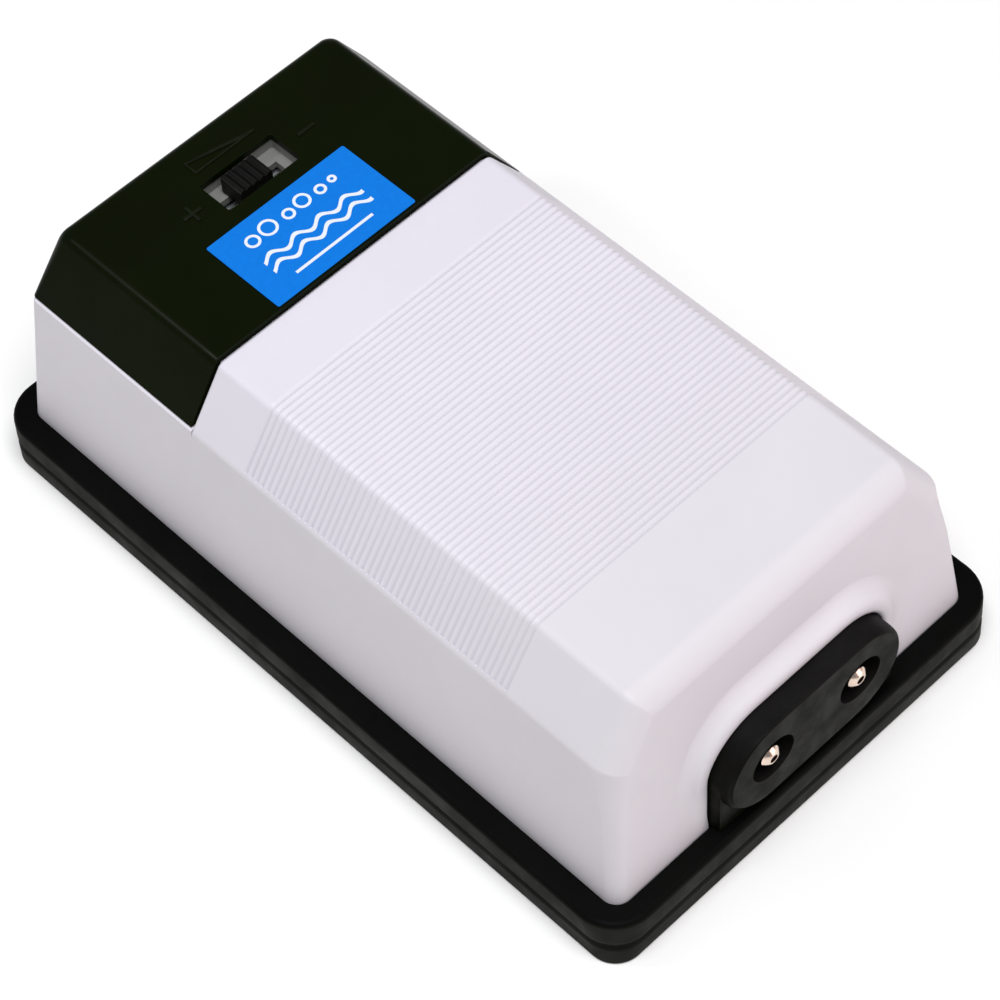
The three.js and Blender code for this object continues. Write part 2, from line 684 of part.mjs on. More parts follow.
// Hollow barbed nipple: outer barb, flange on the recess floor, stem and inner barb.
function nipple(s) {
  const bore = 0.9;
  const neck = 1.95;
  const barb = 2.65;
  const flange = 3.4;
  const flangeBack = RECESS_FLOOR - GAP;
  const profile = [
    [NIPPLE_TIP, bore],
    [NIPPLE_TIP, bore + 0.4],
    [NIPPLE_TIP + 0.6, 2.1],
    [-76.9, barb],
    [-76.6, neck],
    [-75.6, neck],
    [-74.2, barb],
    [-74, neck],
    [flangeBack - 1.3, neck],
    [flangeBack - 1.3, flange],
    [flangeBack, flange],
    [flangeBack, NIPPLE_STEM],
    [-66, NIPPLE_STEM],
    [-65.8, 1.9],
    [NIPPLE_BACK, 1.9],
    [NIPPLE_BACK, bore],
    [NIPPLE_TIP, bore],
  ];
  return turned("y", profile, outletAxis(s), 20);
}

// Silicone tube from a valve box to its nipple.
function airTube(s) {
  const route = [
    [PORT_X, -18.2, OUTLET_PORT_Z],
    [PORT_X, -26, OUTLET_PORT_Z],
    [24.5, -36, 28.8],
    [17, -47, 27.2],
    [11.5, -55, OUTLET_Z],
    [OUTLET_X, -64.2, OUTLET_Z],
  ].map(([x, y, z]) => new THREE.Vector3(s * x, y, z));
  const ring = new THREE.Shape().absarc(0, 0, TUBE_RADIUS, 0, 2 * Math.PI);
  ring.holes.push(new THREE.Path().absarc(0, 0, TUBE_BORE, 0, 2 * Math.PI, true));
  const extrudePath = new THREE.CatmullRomCurve3(route);
  return solid(new THREE.ExtrudeGeometry(ring, { steps: 16, extrudePath, curveSegments: 6 }));
}

// Rubber bush in the rear wall: a flange on each side of the wall and a hole for the cord.
function cordGrommet() {
  const outer = 6.5;
  const inner = 6.2;
  const rear = 76.8;
  const wall = [70.9, 75.2]; // the neck between the flanges
  const front = 69.4;
  const profile = [
    [rear, CORD_HOLE_RADIUS],
    [rear, outer - 0.6],
    [rear - 0.6, outer],
    [wall[1], outer],
    [wall[1], GROMMET_NECK],
    [wall[0], GROMMET_NECK],
    [wall[0], inner],
    [front, inner],
    [front, CORD_HOLE_RADIUS],
    [rear, CORD_HOLE_RADIUS],
  ];
  return turned("y", profile, [0, CORD_Z]);
}

// ---------------------------------------------------------------- electromagnet

// E-shaped core: half widths of the middle leg, of the windows and of the whole.
function magnetCore() {
  const [middle, window, whole] = [5, 13, 21];
  const windowRear = 42;
  const half = [
    [middle, POLE_FACE_Y],
    [middle, windowRear],
    [window, windowRear],
    [window, POLE_FACE_Y],
    [whole, POLE_FACE_Y],
    [whole, 50],
  ];
  const mirrored = half.map(([x, y]) => [-x, y]).reverse();
  return prismZ(polygon([...half, ...mirrored]), CORE_BOTTOM, CORE_TOP);
}

function coilBobbin() {
  const flange = 1;
  const [front, rear] = BOBBIN_Y;
  const tube = box([-6.2, 6.2], BOBBIN_Y, [CORE_BOTTOM - 1.2, CORE_TOP + 1.2]);
  const flanges = [front, rear - flange].map((y) => box([-12.5, 12.5], [y, y + flange], [7, 39]));
  const bore = box([-5 - GAP, 5 + GAP], [POLE_FACE_Y - 2, 45], [CORE_BOTTOM - GAP, CORE_TOP + GAP]);
  return joined([tube, ...flanges]).subtract(bore);
}

function coilWinding() {
  const [front, rear] = BOBBIN_Y;
  const outside = box([-12.2, 12.2], [front + 1.3, rear - 1.3], [7.3, 38.7]);
  return outside.subtract(box([-6.5, 6.5], [POLE_FACE_Y - 2, 45], [CORE_BOTTOM - 1.5, CORE_TOP + 1.5]));
}

// Sheet steel strap that holds the core down, bent like a hat.
function coreStrap() {
  const sheet = 1.2;
  const [inside, outside, tip] = [21.3, 22.5, 30];
  const half = [
    [tip, STRAP_BOTTOM],
    [tip, STRAP_FOOT_TOP],
    [outside, STRAP_FOOT_TOP],
    [outside, CORE_TOP + GAP + sheet],
  ];
  const under = [
    [-inside, STRAP_BOTTOM],
    [-inside, CORE_TOP + GAP],
    [inside, CORE_TOP + GAP],
    [inside, STRAP_BOTTOM],
  ];
  const mirrored = half.map(([x, z]) => [-x, z]).reverse();
  const hat = prismY(polygon([...half, ...mirrored, ...under]), 43, 49);
  return cut(hat, uprights(STRAP_SCREWS, 1.5, STRAP_BOTTOM - 3, STRAP_FOOT_TOP + 6, 12));
}

// Insulated wire from the winding up to the board.
function coilLead(s) {
  const route = [
    [8, 42.2, 36],
    [9, 45, 36.4],
    [11, 49, 38],
    [12, 51, BOARD_BOTTOM - 0.4],
  ].map(([x, y, z]) => new THREE.Vector3(s * x, y, z));
  const wire = new THREE.Shape().absarc(0, 0, 0.8, 0, 2 * Math.PI);
  const extrudePath = new THREE.CatmullRomCurve3(route);
  return solid(new THREE.ExtrudeGeometry(wire, { steps: 8, extrudePath, curveSegments: 4 }));
}

// ---------------------------------------------------------------- swing arms and pump units

function swingArm(s) {
  const lever = box([s * (ARM_X - 1), s * (ARM_X + 1)], [PIVOT_Y + 4, 15.5], [18, 30]);
  const hub = rod("z", 5, [s * ARM_X, PIVOT_Y], ...ARM_Z, 24);
  const crosshead = box([s * (ARM_X - 4), s * (ARM_X + 4)], [15, 17], ARM_Z);
  const stud = rod("x", 4, [PUMP_Y, PUMP_Z], s * ARM_X, s * (ARM_X + 3));
  const hubBore = rod("z", BUSH_RADIUS + GAP, [s * ARM_X, PIVOT_Y], 10, 40, 20);
  const screwHole = rod("x", 1.5, [PUMP_Y, PUMP_Z], s * (ARM_X - 4), s * (ARM_X + 6), 12);
  return cut(joined([lever, hub, crosshead, stud]), [hubBore, screwHole]);
}

function armMagnet(s) {
  return box([s * (ARM_X - 4), s * (ARM_X + 4)], [17.3, POLE_FACE_Y - 1.4], [18, 30]);
}

function pivotBush(s) {
  const centre = [s * ARM_X, PIVOT_Y];
  const ring = rod("z", BUSH_RADIUS, centre, 17.4, 30.6, 20);
  return ring.subtract(rod("z", PIN_RADIUS + GAP, centre, 10, 40, 16));
}

function pivotPin(s) {
  return rod("z", PIN_RADIUS, [s * ARM_X, PIVOT_Y], PIN_BOTTOM, 34, 16);
}

// Rubber cup: rim on the valve box, flexible wall, hub on the arm. The profile holds [x, radius].
function diaphragm(s) {
  const rim = BOX_FACE_X - GAP;
  const profile = [
    [rim, 12.5],
    [18.4, 12.5],
    [18.2, 11],
    [15, 10.2],
    [13.4, 7.5],
    [12.3, 4.5],
    [12.3, 1.5],
    [14.8, 1.5],
    [14.8, 4.5],
    [15.2, 6.8],
    [16.4, 9],
    [19, 9.6],
    [rim, 9.6],
    [rim, 12.5],
  ];
  return turned("x", profile.map(([x, r]) => [s * x, r]), [PUMP_Y, PUMP_Z]);
}

// Holds the diaphragm's hub to the arm: a head, a shank and a clamping disc. The profile holds [x, radius].
function diaphragmScrew(s) {
  const profile = [
    [6.2, 0],
    [6.2, 2],
    [6.6, 2.5],
    [7.7, 2.5],
    [7.7, 1.2],
    [15.1, 1.2],
    [15.1, 2.8],
    [16.6, 2.8],
    [16.6, 0],
  ];
  return turned("x", profile.map(([x, r]) => [s * x, r]), [PUMP_Y, PUMP_Z], 16);
}

function valveBox(s) {
  const y = [PUMP_Y - VALVE_BOX_HALF, PUMP_Y + VALVE_BOX_HALF];
  const z = [PUMP_Z - VALVE_BOX_HALF, PUMP_Z + VALVE_BOX_HALF];
  const seatHalf = VALVE_PLATE_HALF + GAP;
  const chamberHalf = [10.5, 4.7];
  const body = box([s * BOX_FACE_X, s * BOX_BACK_X], y, z);
  const stub = rod("y", 2, [s * PORT_X, OUTLET_PORT_Z], -24, y[0] + 1, 16);
  const seat = box(
    [s * (BOX_FACE_X - 5), s * (VALVE_PLATE_X[1] + GAP)],
    [PUMP_Y - seatHalf, PUMP_Y + seatHalf],
    [PUMP_Z - seatHalf, PUMP_Z + seatHalf],
  );
  const chambers = [INLET_PORT_Z, OUTLET_PORT_Z].map((level) =>
    box(
      [s * VALVE_PLATE_X[1], s * (BOX_BACK_X - 2)],
      [PUMP_Y - chamberHalf[0], PUMP_Y + chamberHalf[0]],
      [level - chamberHalf[1], level + chamberHalf[1]],
    ),
  );
  const outlet = rod("y", 1.2, [s * PORT_X, OUTLET_PORT_Z], -30, PUMP_Y - 9, 12);
  const inlet = rod("y", 1.5, [s * PORT_X, INLET_PORT_Z], PUMP_Y + 9, PUMP_Y + 19, 12);
  return cut(body.add(stub), [seat, ...chambers, outlet, inlet]);
}

function valvePlate(s) {
  const y = [PUMP_Y - VALVE_PLATE_HALF, PUMP_Y + VALVE_PLATE_HALF];
  const z = [PUMP_Z - VALVE_PLATE_HALF, PUMP_Z + VALVE_PLATE_HALF];
  const plate = box(VALVE_PLATE_X.map((x) => s * x), y, z);
  const ports = [INLET_PORT_Z, OUTLET_PORT_Z].map((level) =>
    rod("x", 1.6, [PUMP_Y, level], s * (VALVE_PLATE_X[0] - 3), s * (VALVE_PLATE_X[1] + 3), 12),
  );
  return cut(plate, ports);
}

// Thin rubber disc over a port, starting at x.
function valveFlap(s, level, x) {
  return rod("x", 3.4, [PUMP_Y, level], s * x, s * (x + FLAP_THICKNESS), 20);
}

// ---------------------------------------------------------------- flow regulator

function controlBoard() {
  const plate = box([-22, 22], [46, 66.5], [BOARD_BOTTOM, BOARD_TOP]);
  return cut(plate, uprights(BOARD_SCREWS, 1.4, BOARD_BOTTOM - 2, BOARD_TOP + 2, 12));
}

// A piece that stands on the board.
function onBoard(x, y, top) {
  return box(x, y, [BOARD_TOP + GAP, top]);
}

function sliderTrack() {
  const body = onBoard([-12.5, 12.5], [SLIDER_Y - 3.8, SLIDER_Y + 3.8], 49.5);
  return body.subtract(box([-8, 8], [SLIDER_Y - 1.3, SLIDER_Y + 1.3], [45, FAR_TOP]));
}

// ---------------------------------------------------------------- assembly

add("upper_housing", upperHousing(), "whitePlastic");
add("top_cover", topCover(), "blackGloss");
add("label_plate", labelPlate(), "blueLabel");
add("flow_knob", flowKnob(), "blackPlastic");
add("slider_stem", sliderStem(), "greyPlastic");
add("slider_track", sliderTrack(), "greyPlastic");
add("control_board", controlBoard(), "greenBoard");
add("board_triac", onBoard([-18, -12], [47.2, 51.5], 49), "blackPlastic");
add("board_capacitor", onBoard([5, 18], [46.8, 51.6], 50), "yellowFilm");
add("rubber_boot", rubberBoot(), "blackRubber");
add("base_plate", basePlate(), "blackPlastic");
add("filter_cover", filterCover(), "blackPlastic");
add("filter_pad", filterPad(), "whiteFelt");
add("outlet_block", outletBlock(), "blackRubber");
add("cord_grommet", cordGrommet(), "blackRubber");
add("magnet_core", magnetCore(), "steel");
add("coil_bobbin", coilBobbin(), "greyPlastic");
add("coil_winding", coilWinding(), "copper");
add("core_strap", coreStrap(), "steel");

for (const place of HOUSING_SCREWS) {
  const [x, y] = place;
  const name = `housing_screw_${y < 0 ? "front" : "rear"}_${x < 0 ? "left" : "right"}`;
  add(name, screw(place, housingScrew), "steel");
}

const inletFlapX = VALVE_PLATE_X[0] - GAP - FLAP_THICKNESS;
const outletFlapX = VALVE_PLATE_X[1] + GAP;

SIDES.forEach(([side, s], i) => {
  add(`outlet_nipple_${side}`, nipple(s), "nickel");
  add(`air_tube_${side}`, airTube(s), "siliconeTube");
  add(`swing_arm_${side}`, swingArm(s), "greyPlastic");
  add(`arm_magnet_${side}`, armMagnet(s), "magnet");
  add(`pivot_bush_${side}`, pivotBush(s), "blackRubber");
  add(`pivot_pin_${side}`, pivotPin(s), "steel");
  add(`diaphragm_${side}`, diaphragm(s), "blackRubber");
  add(`diaphragm_screw_${side}`, diaphragmScrew(s), "steel");
  add(`valve_box_${side}`, valveBox(s), "greyPlastic");
  add(`valve_plate_${side}`, valvePlate(s), "blackPlastic");
  add(`inlet_flap_${side}`, valveFlap(s, INLET_PORT_Z, inletFlapX), "blackRubber");
  add(`outlet_flap_${side}`, valveFlap(s, OUTLET_PORT_Z, outletFlapX), "blackRubber");
  add(`strap_screw_${side}`, screw(STRAP_SCREWS[i], strapScrew), "steel");
  add(`board_screw_${side}`, screw(BOARD_SCREWS[i], boardScrew), "steel");
  add(`coil_lead_${side}`, coilLead(s), "blackPlastic");
});

export default pump;
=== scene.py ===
import json
import math

import bmesh
import bpy
import numpy as np
from mathutils import Matrix, Vector


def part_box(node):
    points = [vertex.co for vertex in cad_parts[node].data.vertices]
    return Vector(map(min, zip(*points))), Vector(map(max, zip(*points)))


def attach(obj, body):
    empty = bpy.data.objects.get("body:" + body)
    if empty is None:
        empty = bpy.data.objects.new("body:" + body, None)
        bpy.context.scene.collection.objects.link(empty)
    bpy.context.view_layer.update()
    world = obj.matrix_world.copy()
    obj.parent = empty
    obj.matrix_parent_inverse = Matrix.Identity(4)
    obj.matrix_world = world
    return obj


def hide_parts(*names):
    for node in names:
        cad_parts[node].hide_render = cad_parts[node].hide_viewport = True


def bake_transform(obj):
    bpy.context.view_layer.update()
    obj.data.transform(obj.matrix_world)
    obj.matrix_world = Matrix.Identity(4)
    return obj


# Twin-outlet aquarium air pump. Lengths are millimetres here, and become metres where a mesh is made.
# The frame is the CAD's: +Z up, the outlets face -Y, the black cover is at +Y.

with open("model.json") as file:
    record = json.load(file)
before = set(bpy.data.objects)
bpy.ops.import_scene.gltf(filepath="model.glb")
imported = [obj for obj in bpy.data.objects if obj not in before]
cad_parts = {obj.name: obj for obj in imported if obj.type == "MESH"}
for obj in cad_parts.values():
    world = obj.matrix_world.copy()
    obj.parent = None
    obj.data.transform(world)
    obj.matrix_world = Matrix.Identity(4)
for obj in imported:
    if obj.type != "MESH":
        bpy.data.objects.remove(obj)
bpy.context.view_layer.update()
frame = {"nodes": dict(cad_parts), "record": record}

MM = 0.001
SIDES = (("left", -1), ("right", 1))


def box_mm(node):
    """Lowest and highest corner of a CAD node, in millimetres."""
    low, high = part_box(node)
    return low / MM, high / MM


# ---------------------------------------------------------------- driving dimensions

GAP = 0.3
BOOT_HIGH = box_mm("rubber_boot")[1]
BOARD_TOP = box_mm("control_board")[1].z
COVER_LOW, COVER_HIGH = box_mm("top_cover")
BLOCK_LOW, BLOCK_HIGH = box_mm("outlet_block")
NIPPLE_LOW, NIPPLE_HIGH = box_mm("outlet_nipple_right")
KNOB_LOW, KNOB_HIGH = box_mm("flow_knob")
LABEL_LOW, LABEL_HIGH = box_mm("label_plate")
HOUSING_LOW, HOUSING_HIGH = box_mm("upper_housing")
GROMMET_LOW, GROMMET_HIGH = box_mm("cord_grommet")
BOARD_SCREW_LOW, BOARD_SCREW_HIGH = box_mm("board_screw_right")

# White housing: half widths and half length at three heights, and its edge roundings.
Z_HOUSING = HOUSING_LOW.z
Z_RIM = BOOT_HIGH.z
Z_SHOULDER = 44.0
Z_TOP = HOUSING_HIGH.z
HALF_W_RIM = 43.4
HALF_W_SHOULDER = 39.9
HALF_W_TOP = 31.8
HALF_L_RIM = 75.0
END_DRAFT = 0.114
WALL = 2.2
SHOULDER_RADIUS = 2.6
RIDGE_RADIUS = 1.9
FRONT_CORNER = 3.0
FRONT_EDGE = 4.6
REAR_CORNER_RIM = 3.0
REAR_CORNER_SHOULDER = 1.0
LEAST_RADIUS = 0.3

# Cross grooves. The section lists where the skin has points, as shares of a groove's half width.
GROOVE_COUNT = 47
GROOVE_FIRST_Y = 15.6
GROOVE_PITCH = 1.357
GROOVE_HALF = 0.65
GROOVE_DEPTH = 0.32
GROOVE_SECTION = (-1, -0.7, -0.35, 0, 0.35, 0.7, 1)

# Black cover, and the housing's core under it.
MARK_HEIGHT = 0.25
COVER_FRONT = COVER_LOW.y
COVER_BOTTOM = COVER_LOW.z
COVER_TOP = COVER_HIGH.z - MARK_HEIGHT
COVER_HALF_W = COVER_HIGH.x
COVER_HALF_W_TOP = 31.9
COVER_REAR = COVER_HIGH.y
COVER_REAR_TOP = 70.9
COVER_WALL = 1.5
COVER_LEAN = (COVER_HALF_W - COVER_HALF_W_TOP) / (COVER_TOP - COVER_BOTTOM)
COVER_RIDGE_RADIUS = 2.4
COVER_CORNER_BOTTOM = 1.0
COVER_CORNER_TOP = 2.5
CORE_TOP = COVER_TOP - COVER_WALL - GAP
CORE_REAR = COVER_REAR_TOP - COVER_WALL - 2 * GAP
CORE_RADIUS = 3.0
CORE_RIDGE_RADIUS = 0.5
LEDGE_RADIUS = 0.4
LEDGE_Z = COVER_BOTTOM - GAP

# Slider slot, the well under it, and heights for tools that cut through the top skin.
SLOT_HALF_W = 8.4
SLOT_HALF_L = 3.95
SLOT_Y = (KNOB_LOW.y + KNOB_HIGH.y) / 2
WELL_FLOOR = KNOB_LOW.z - 0.4
UNDER_TOP = 50
ABOVE_TOP = 60

# Outlets.
BLOCK_HALF_W = BLOCK_HIGH.x
BLOCK_TOP = BLOCK_HIGH.z
BLOCK_CORNER = 10.5
BLOCK_FRONT = -77.3
BOSS_FRONT = BLOCK_LOW.y
BOSS_HALF_W = 20.15
BOSS_Z = 25.75
BOSS_RADIUS = 10.05
OUTLET_X = 10.6
OUTLET_Z = 26.2
RECESS_RADIUS = 4.9
RECESS_FLOOR = -70.0
COLLAR_LIP = -75.0

SCREW_PLACES = [(x, y) for x in (-34.5, 34.5) for y in (-63.5, 63.5)]
CORD_Z = (GROMMET_LOW.z + GROMMET_HIGH.z) / 2
CORD_HOLE_RADIUS = 3.2

# ---------------------------------------------------------------- mesh helpers


def add_object(name, data):
    obj = bpy.data.objects.new(name, data)
    bpy.context.scene.collection.objects.link(obj)
    return obj


def make_object(name, vertices, faces):
    """A mesh object from millimetre vertices, with doubles merged and faces turned outwards."""
    mesh = bpy.data.meshes.new(name)
    mesh.from_pydata((np.array(vertices, float) * MM).tolist(), [], faces)
    work = bmesh.new()
    work.from_mesh(mesh)
    bmesh.ops.remove_doubles(work, verts=work.verts, dist=1e-6)
    bmesh.ops.dissolve_degenerate(work, edges=work.edges, dist=1e-7)
    bmesh.ops.recalc_face_normals(work, faces=work.faces)
    work.to_mesh(mesh)
    work.free()
    return add_object(name, mesh)


def loft(name, rings, ring_shaped=False):
    """A closed skin over rings of points that all have the same count.
    Ring-shaped means that the last ring joins the first again; otherwise both ends are capped."""
    count = len(rings[0])
    faces = []
    spans = len(rings) if ring_shaped else len(rings) - 1
    for k in range(spans):
        low = k * count
        high = ((k + 1) % len(rings)) * count
        for i in range(count):
            j = (i + 1) % count
            faces.append((low + i, low + j, high + j, high + i))
    if not ring_shaped:
        faces.append(tuple(range(count)))
        faces.append(tuple((len(rings) - 1) * count + i for i in range(count)))
    return make_object(name, [p for ring in rings for p in ring], faces)


def lifted(point, axis, along):
    """A 2D point, which holds the other two axes in X, Y, Z order, as a 3D point that far along an axis."""
    values = list(point)
    values.insert("xyz".index(axis), along)
    return values


def prism(name, outline, axis, low, high):
    """An outline of 2D points extruded along an axis."""
    return loft(name, [[lifted(p, axis, along) for p in outline] for along in (low, high)])


def block(name, x, y, z):
    """A box between two corners."""
    outline = [(x[0], y[0]), (x[1], y[0]), (x[1], y[1]), (x[0], y[1])]
    return prism(name, outline, "z", *z)


def rod(name, axis, radius, centre, low, high, sides=48):
    turns = [2 * math.pi * i / sides for i in range(sides)]
    circle = [(centre[0] + radius * math.cos(t), centre[1] + radius * math.sin(t)) for t in turns]
    return prism(name, circle, axis, low, high)


def rods(name, places, radius, low, high, sides=48):
    """Several upright rods."""
    return [rod(name, "z", radius, place, low, high, sides) for place in places]


def turned(name, axis, profile, centre, sides=64):
    """A ring-shaped body of revolution. The profile holds [distance along the axis, radius]."""
    rings = []
    for step in range(sides):
        turn = 2 * math.pi * step / sides
        rings.append([
            lifted((centre[0] + radius * math.cos(turn), centre[1] + radius * math.sin(turn)), axis, along)
            for along, radius in profile
        ])
    return loft(name, rings, ring_shaped=True)


def arc(centre, radius, start, end, steps):
    """Points on an arc between two angles in degrees, both ends included."""
    turns = [math.radians(start + (end - start) * i / steps) for i in range(steps + 1)]
    return [(centre[0] + radius * math.cos(t), centre[1] + radius * math.sin(t)) for t in turns]


def level_ring(half_w, front, rear, radius, z, per_corner=12):
    """A horizontal rectangle with rounded corners, between front and rear on Y."""
    corners = (
        (half_w - radius, rear - radius, 0),
        (-half_w + radius, rear - radius, 90),
        (-half_w + radius, front + radius, 180),
        (half_w - radius, front + radius, 270),
    )
    return [
        (x, y, z)
        for cx, cy, start in corners
        for x, y in arc((cx, cy), radius, start, start + 90, per_corner - 1)
    ]


def flat_ring(half_w, half_l, radius, y, x=0.0):
    """The 2D points of a small rectangle with rounded corners."""
    ring = level_ring(half_w, y - half_l, y + half_l, radius, 0, per_corner=5)
    return [(x + a, b) for a, b, _ in ring]


def merged(name, parts):
    """Several separate closed bodies as one object."""
    work = bmesh.new()
    for part in parts:
        work.from_mesh(part.data)
        bpy.data.objects.remove(part)
    mesh = bpy.data.meshes.new(name)
    work.to_mesh(mesh)
    work.free()
    return add_object(name, mesh)


def apply_modifiers(obj):
    bpy.context.view_layer.update()
    graph = bpy.context.evaluated_depsgraph_get()
    mesh = bpy.data.meshes.new_from_object(obj.evaluated_get(graph))
    obj.modifiers.clear()
    obj.data = mesh


def combine(body, tool, operation):
    """Joins the tool to the body, or cuts it away, and removes the tool."""
    modifier = body.modifiers.new("combine", "BOOLEAN")
    modifier.operation = operation
    modifier.solver = "EXACT"
    modifier.object = tool
    apply_modifiers(body)
    bpy.data.objects.remove(tool)


def join(body, *tools):
    for tool in tools:
        combine(body, tool, "UNION")


def cut(body, *tools):
    for tool in tools:
        combine(body, tool, "DIFFERENCE")


def round_edges(obj, width, angle=45.0, segments=3):
    """Rounds every edge that turns by more than the angle."""
    modifier = obj.modifiers.new("round", "BEVEL")
    modifier.width = width * MM
    modifier.segments = segments
    modifier.limit_method = "ANGLE"
    modifier.angle_limit = math.radians(angle)
    modifier.miter_outer = "MITER_ARC"
    modifier.use_clamp_overlap = True
    apply_modifiers(obj)
    return obj


def smooth(obj, angle=40.0):
    """Smooth shading that stays crisp on edges sharper than the angle, weighted to the large faces."""
    obj.data.shade_smooth()
    obj.data.set_sharp_from_angle(angle=math.radians(angle))
    modifier = obj.modifiers.new("normals", "WEIGHTED_NORMAL")
    modifier.keep_sharp = True
    return obj


# ---------------------------------------------------------------- materials


def linear(red, green, blue):
    """A display colour from 0 to 255 as the linear colour that shaders take."""
    def channel(value):
        share = value / 255
        return share / 12.92 if share <= 0.04045 else ((share + 0.055) / 1.055) ** 2.4

    return tuple(channel(v) for v in (red, green, blue))


def shaded(colour, factor=1.0):
    """A linear colour, lighter or darker by a factor, with its alpha."""
    return (*(min(1.0, c * factor) for c in colour), 1.0)


SOCKETS = {
    "specular": "Specular IOR Level",
    "coat": "Coat Weight",
    "sheen": "Sheen Weight",
    "subsurface": "Subsurface Weight",
    "transmission": "Transmission Weight",
}

# The Mix node's colour sockets, by number because its other data types use the same names.
MIX_FIRST, MIX_SECOND, MIX_RESULT = 6, 7, 2


class Surface:
    """A Principled material built up from procedural detail in object coordinates."""

    def __init__(self, name, metallic=0.0, **sockets):
        self.material = bpy.data.materials.new(name)
        self.material.use_nodes = True
        self.tree = self.material.node_tree
        self.shader = self.tree.nodes["Principled BSDF"]
        self.put(metallic, self.shader.inputs["Metallic"])
        for socket, value in sockets.items():
            self.put(value, self.shader.inputs[SOCKETS[socket]])
        self.place = self.node("TexCoord").outputs["Object"]

    def put(self, value, socket):
        """Links another node's output into a socket, or sets a plain value on it."""
        if isinstance(value, bpy.types.NodeSocket):
            self.tree.links.new(value, socket)
        else:
            socket.default_value = value

    def node(self, kind, **inputs):
        """A new node with its inputs linked or set. Their names have _ for spaces."""
        node = self.tree.nodes.new(f"ShaderNode{kind}")
        for name, value in inputs.items():
            self.put(value, node.inputs[name.replace("_", " ")])
        return node

    def noise(self, scale, detail=3.0, roughness=0.55, stretch=None):
        place = self.place
        if stretch:
            place = self.node("Mapping", Vector=place, Scale=stretch).outputs["Vector"]
        node = self.node("TexNoise", Vector=place, Scale=scale, Detail=detail, Roughness=roughness)
        return node.outputs["Fac"]

    def wave(self, direction, period, distortion=0.0):
        """Bands across an axis, one every period in millimetres."""
        scale = math.pi / (10 * period * MM)
        node = self.node("TexWave", Vector=self.place, Scale=scale, Distortion=distortion, Detail=1.0)
        node.bands_direction = direction
        return node.outputs["Fac"]

    def ramp(self, factor, *stops):
        node = self.node("ValToRGB", Fac=factor)
        elements = node.color_ramp.elements
        while len(elements) < len(stops):
            elements.new(0.5)
        for element, (position, colour) in zip(elements, stops):
            element.position = position
            element.color = colour
        return node.outputs["Color"]

    def spread(self, factor, low, high, start=0.35, end=0.65):
        """Low where a factor is at the start or before, high at the end or past it."""
        node = self.node("MapRange", Value=factor, From_Min=start, From_Max=end, To_Min=low, To_Max=high)
        return node.outputs["Result"]

    def mixed(self, factor, first, second):
        node = self.node("Mix")
        node.data_type = "RGBA"
        self.put(factor, node.inputs["Factor"])
        self.put(first, node.inputs[MIX_FIRST])
        self.put(second, node.inputs[MIX_SECOND])
        return node.outputs[MIX_RESULT]

    def product(self, first, second):
        node = self.node("Math")
        node.operation = "MULTIPLY"
        self.put(first, node.inputs[0])
        self.put(second, node.inputs[1])
        return node.outputs["Value"]

    def mottled(self, colour, amount, scale):
        """A colour that drifts a little lighter and darker over the surface."""
        stops = ((0.35, shaded(colour, 1 - amount)), (0.65, shaded(colour, 1 + amount)))
        return self.ramp(self.noise(scale), *stops)

    def pointed(self, amount, start, end):
        """Grows from 0 to an amount between two values of how convex the surface is."""
        return self.spread(self.node("NewGeometry").outputs["Pointiness"], 0.0, amount, start, end)

    def worn(self, base, edge_colour, amount=0.6):
        """Lightens convex edges, broken up by noise."""
        broken = self.product(self.pointed(amount, 0.53, 0.6), self.spread(self.noise(320), 0.2, 1.0))
        return self.mixed(broken, base, edge_colour)

    def hollow_shade(self, base, shade_colour, amount):
        """Darkens hollows: painted shade."""
        return self.mixed(self.pointed(amount, 0.49, 0.44), base, shade_colour)

    def beyond(self, axis, place, factor=None, width=1):
        """0 before a place on an axis and 1 past its width, in millimetres, times another such factor."""
        along = self.node("SeparateXYZ", Vector=self.place).outputs[axis]
        step = self.spread(along, 0.0, 1.0, place * MM, (place + width) * MM)
        return self.product(step, factor) if factor else step

    def facing_shade(self, base, wall_colour):
        """A second colour on the upright faces: painted light and shade by which way a face points."""
        normal = self.node("TexCoord").outputs["Normal"]
        upward = self.node("SeparateXYZ", Vector=normal).outputs["Z"]
        return self.mixed(self.spread(upward, 1.0, 0.0, 0.2, 0.8), base, wall_colour)

    def brushed(self, axis, amount):
        """Stretches the highlights round an axis, as on turned metal."""
        tangent = self.node("Tangent")
        tangent.direction_type = "RADIAL"
        tangent.axis = axis
        self.put(amount, self.shader.inputs["Anisotropic"])
        self.put(tangent.outputs["Tangent"], self.shader.inputs["Tangent"])

    def finish(self, colour, rough, relief):
        """The finished material. Rough holds low, high and scale; relief holds height, depth in
        millimetres and strength."""
        low, high, scale = rough
        height, depth, strength = relief
        bump = self.node("Bump", Height=height, Distance=depth * MM, Strength=strength)
        self.put(colour, self.shader.inputs["Base Color"])
        self.put(self.spread(self.noise(scale), low, high), self.shader.inputs["Roughness"])
        self.put(bump.outputs["Normal"], self.shader.inputs["Normal"])
        return self.material


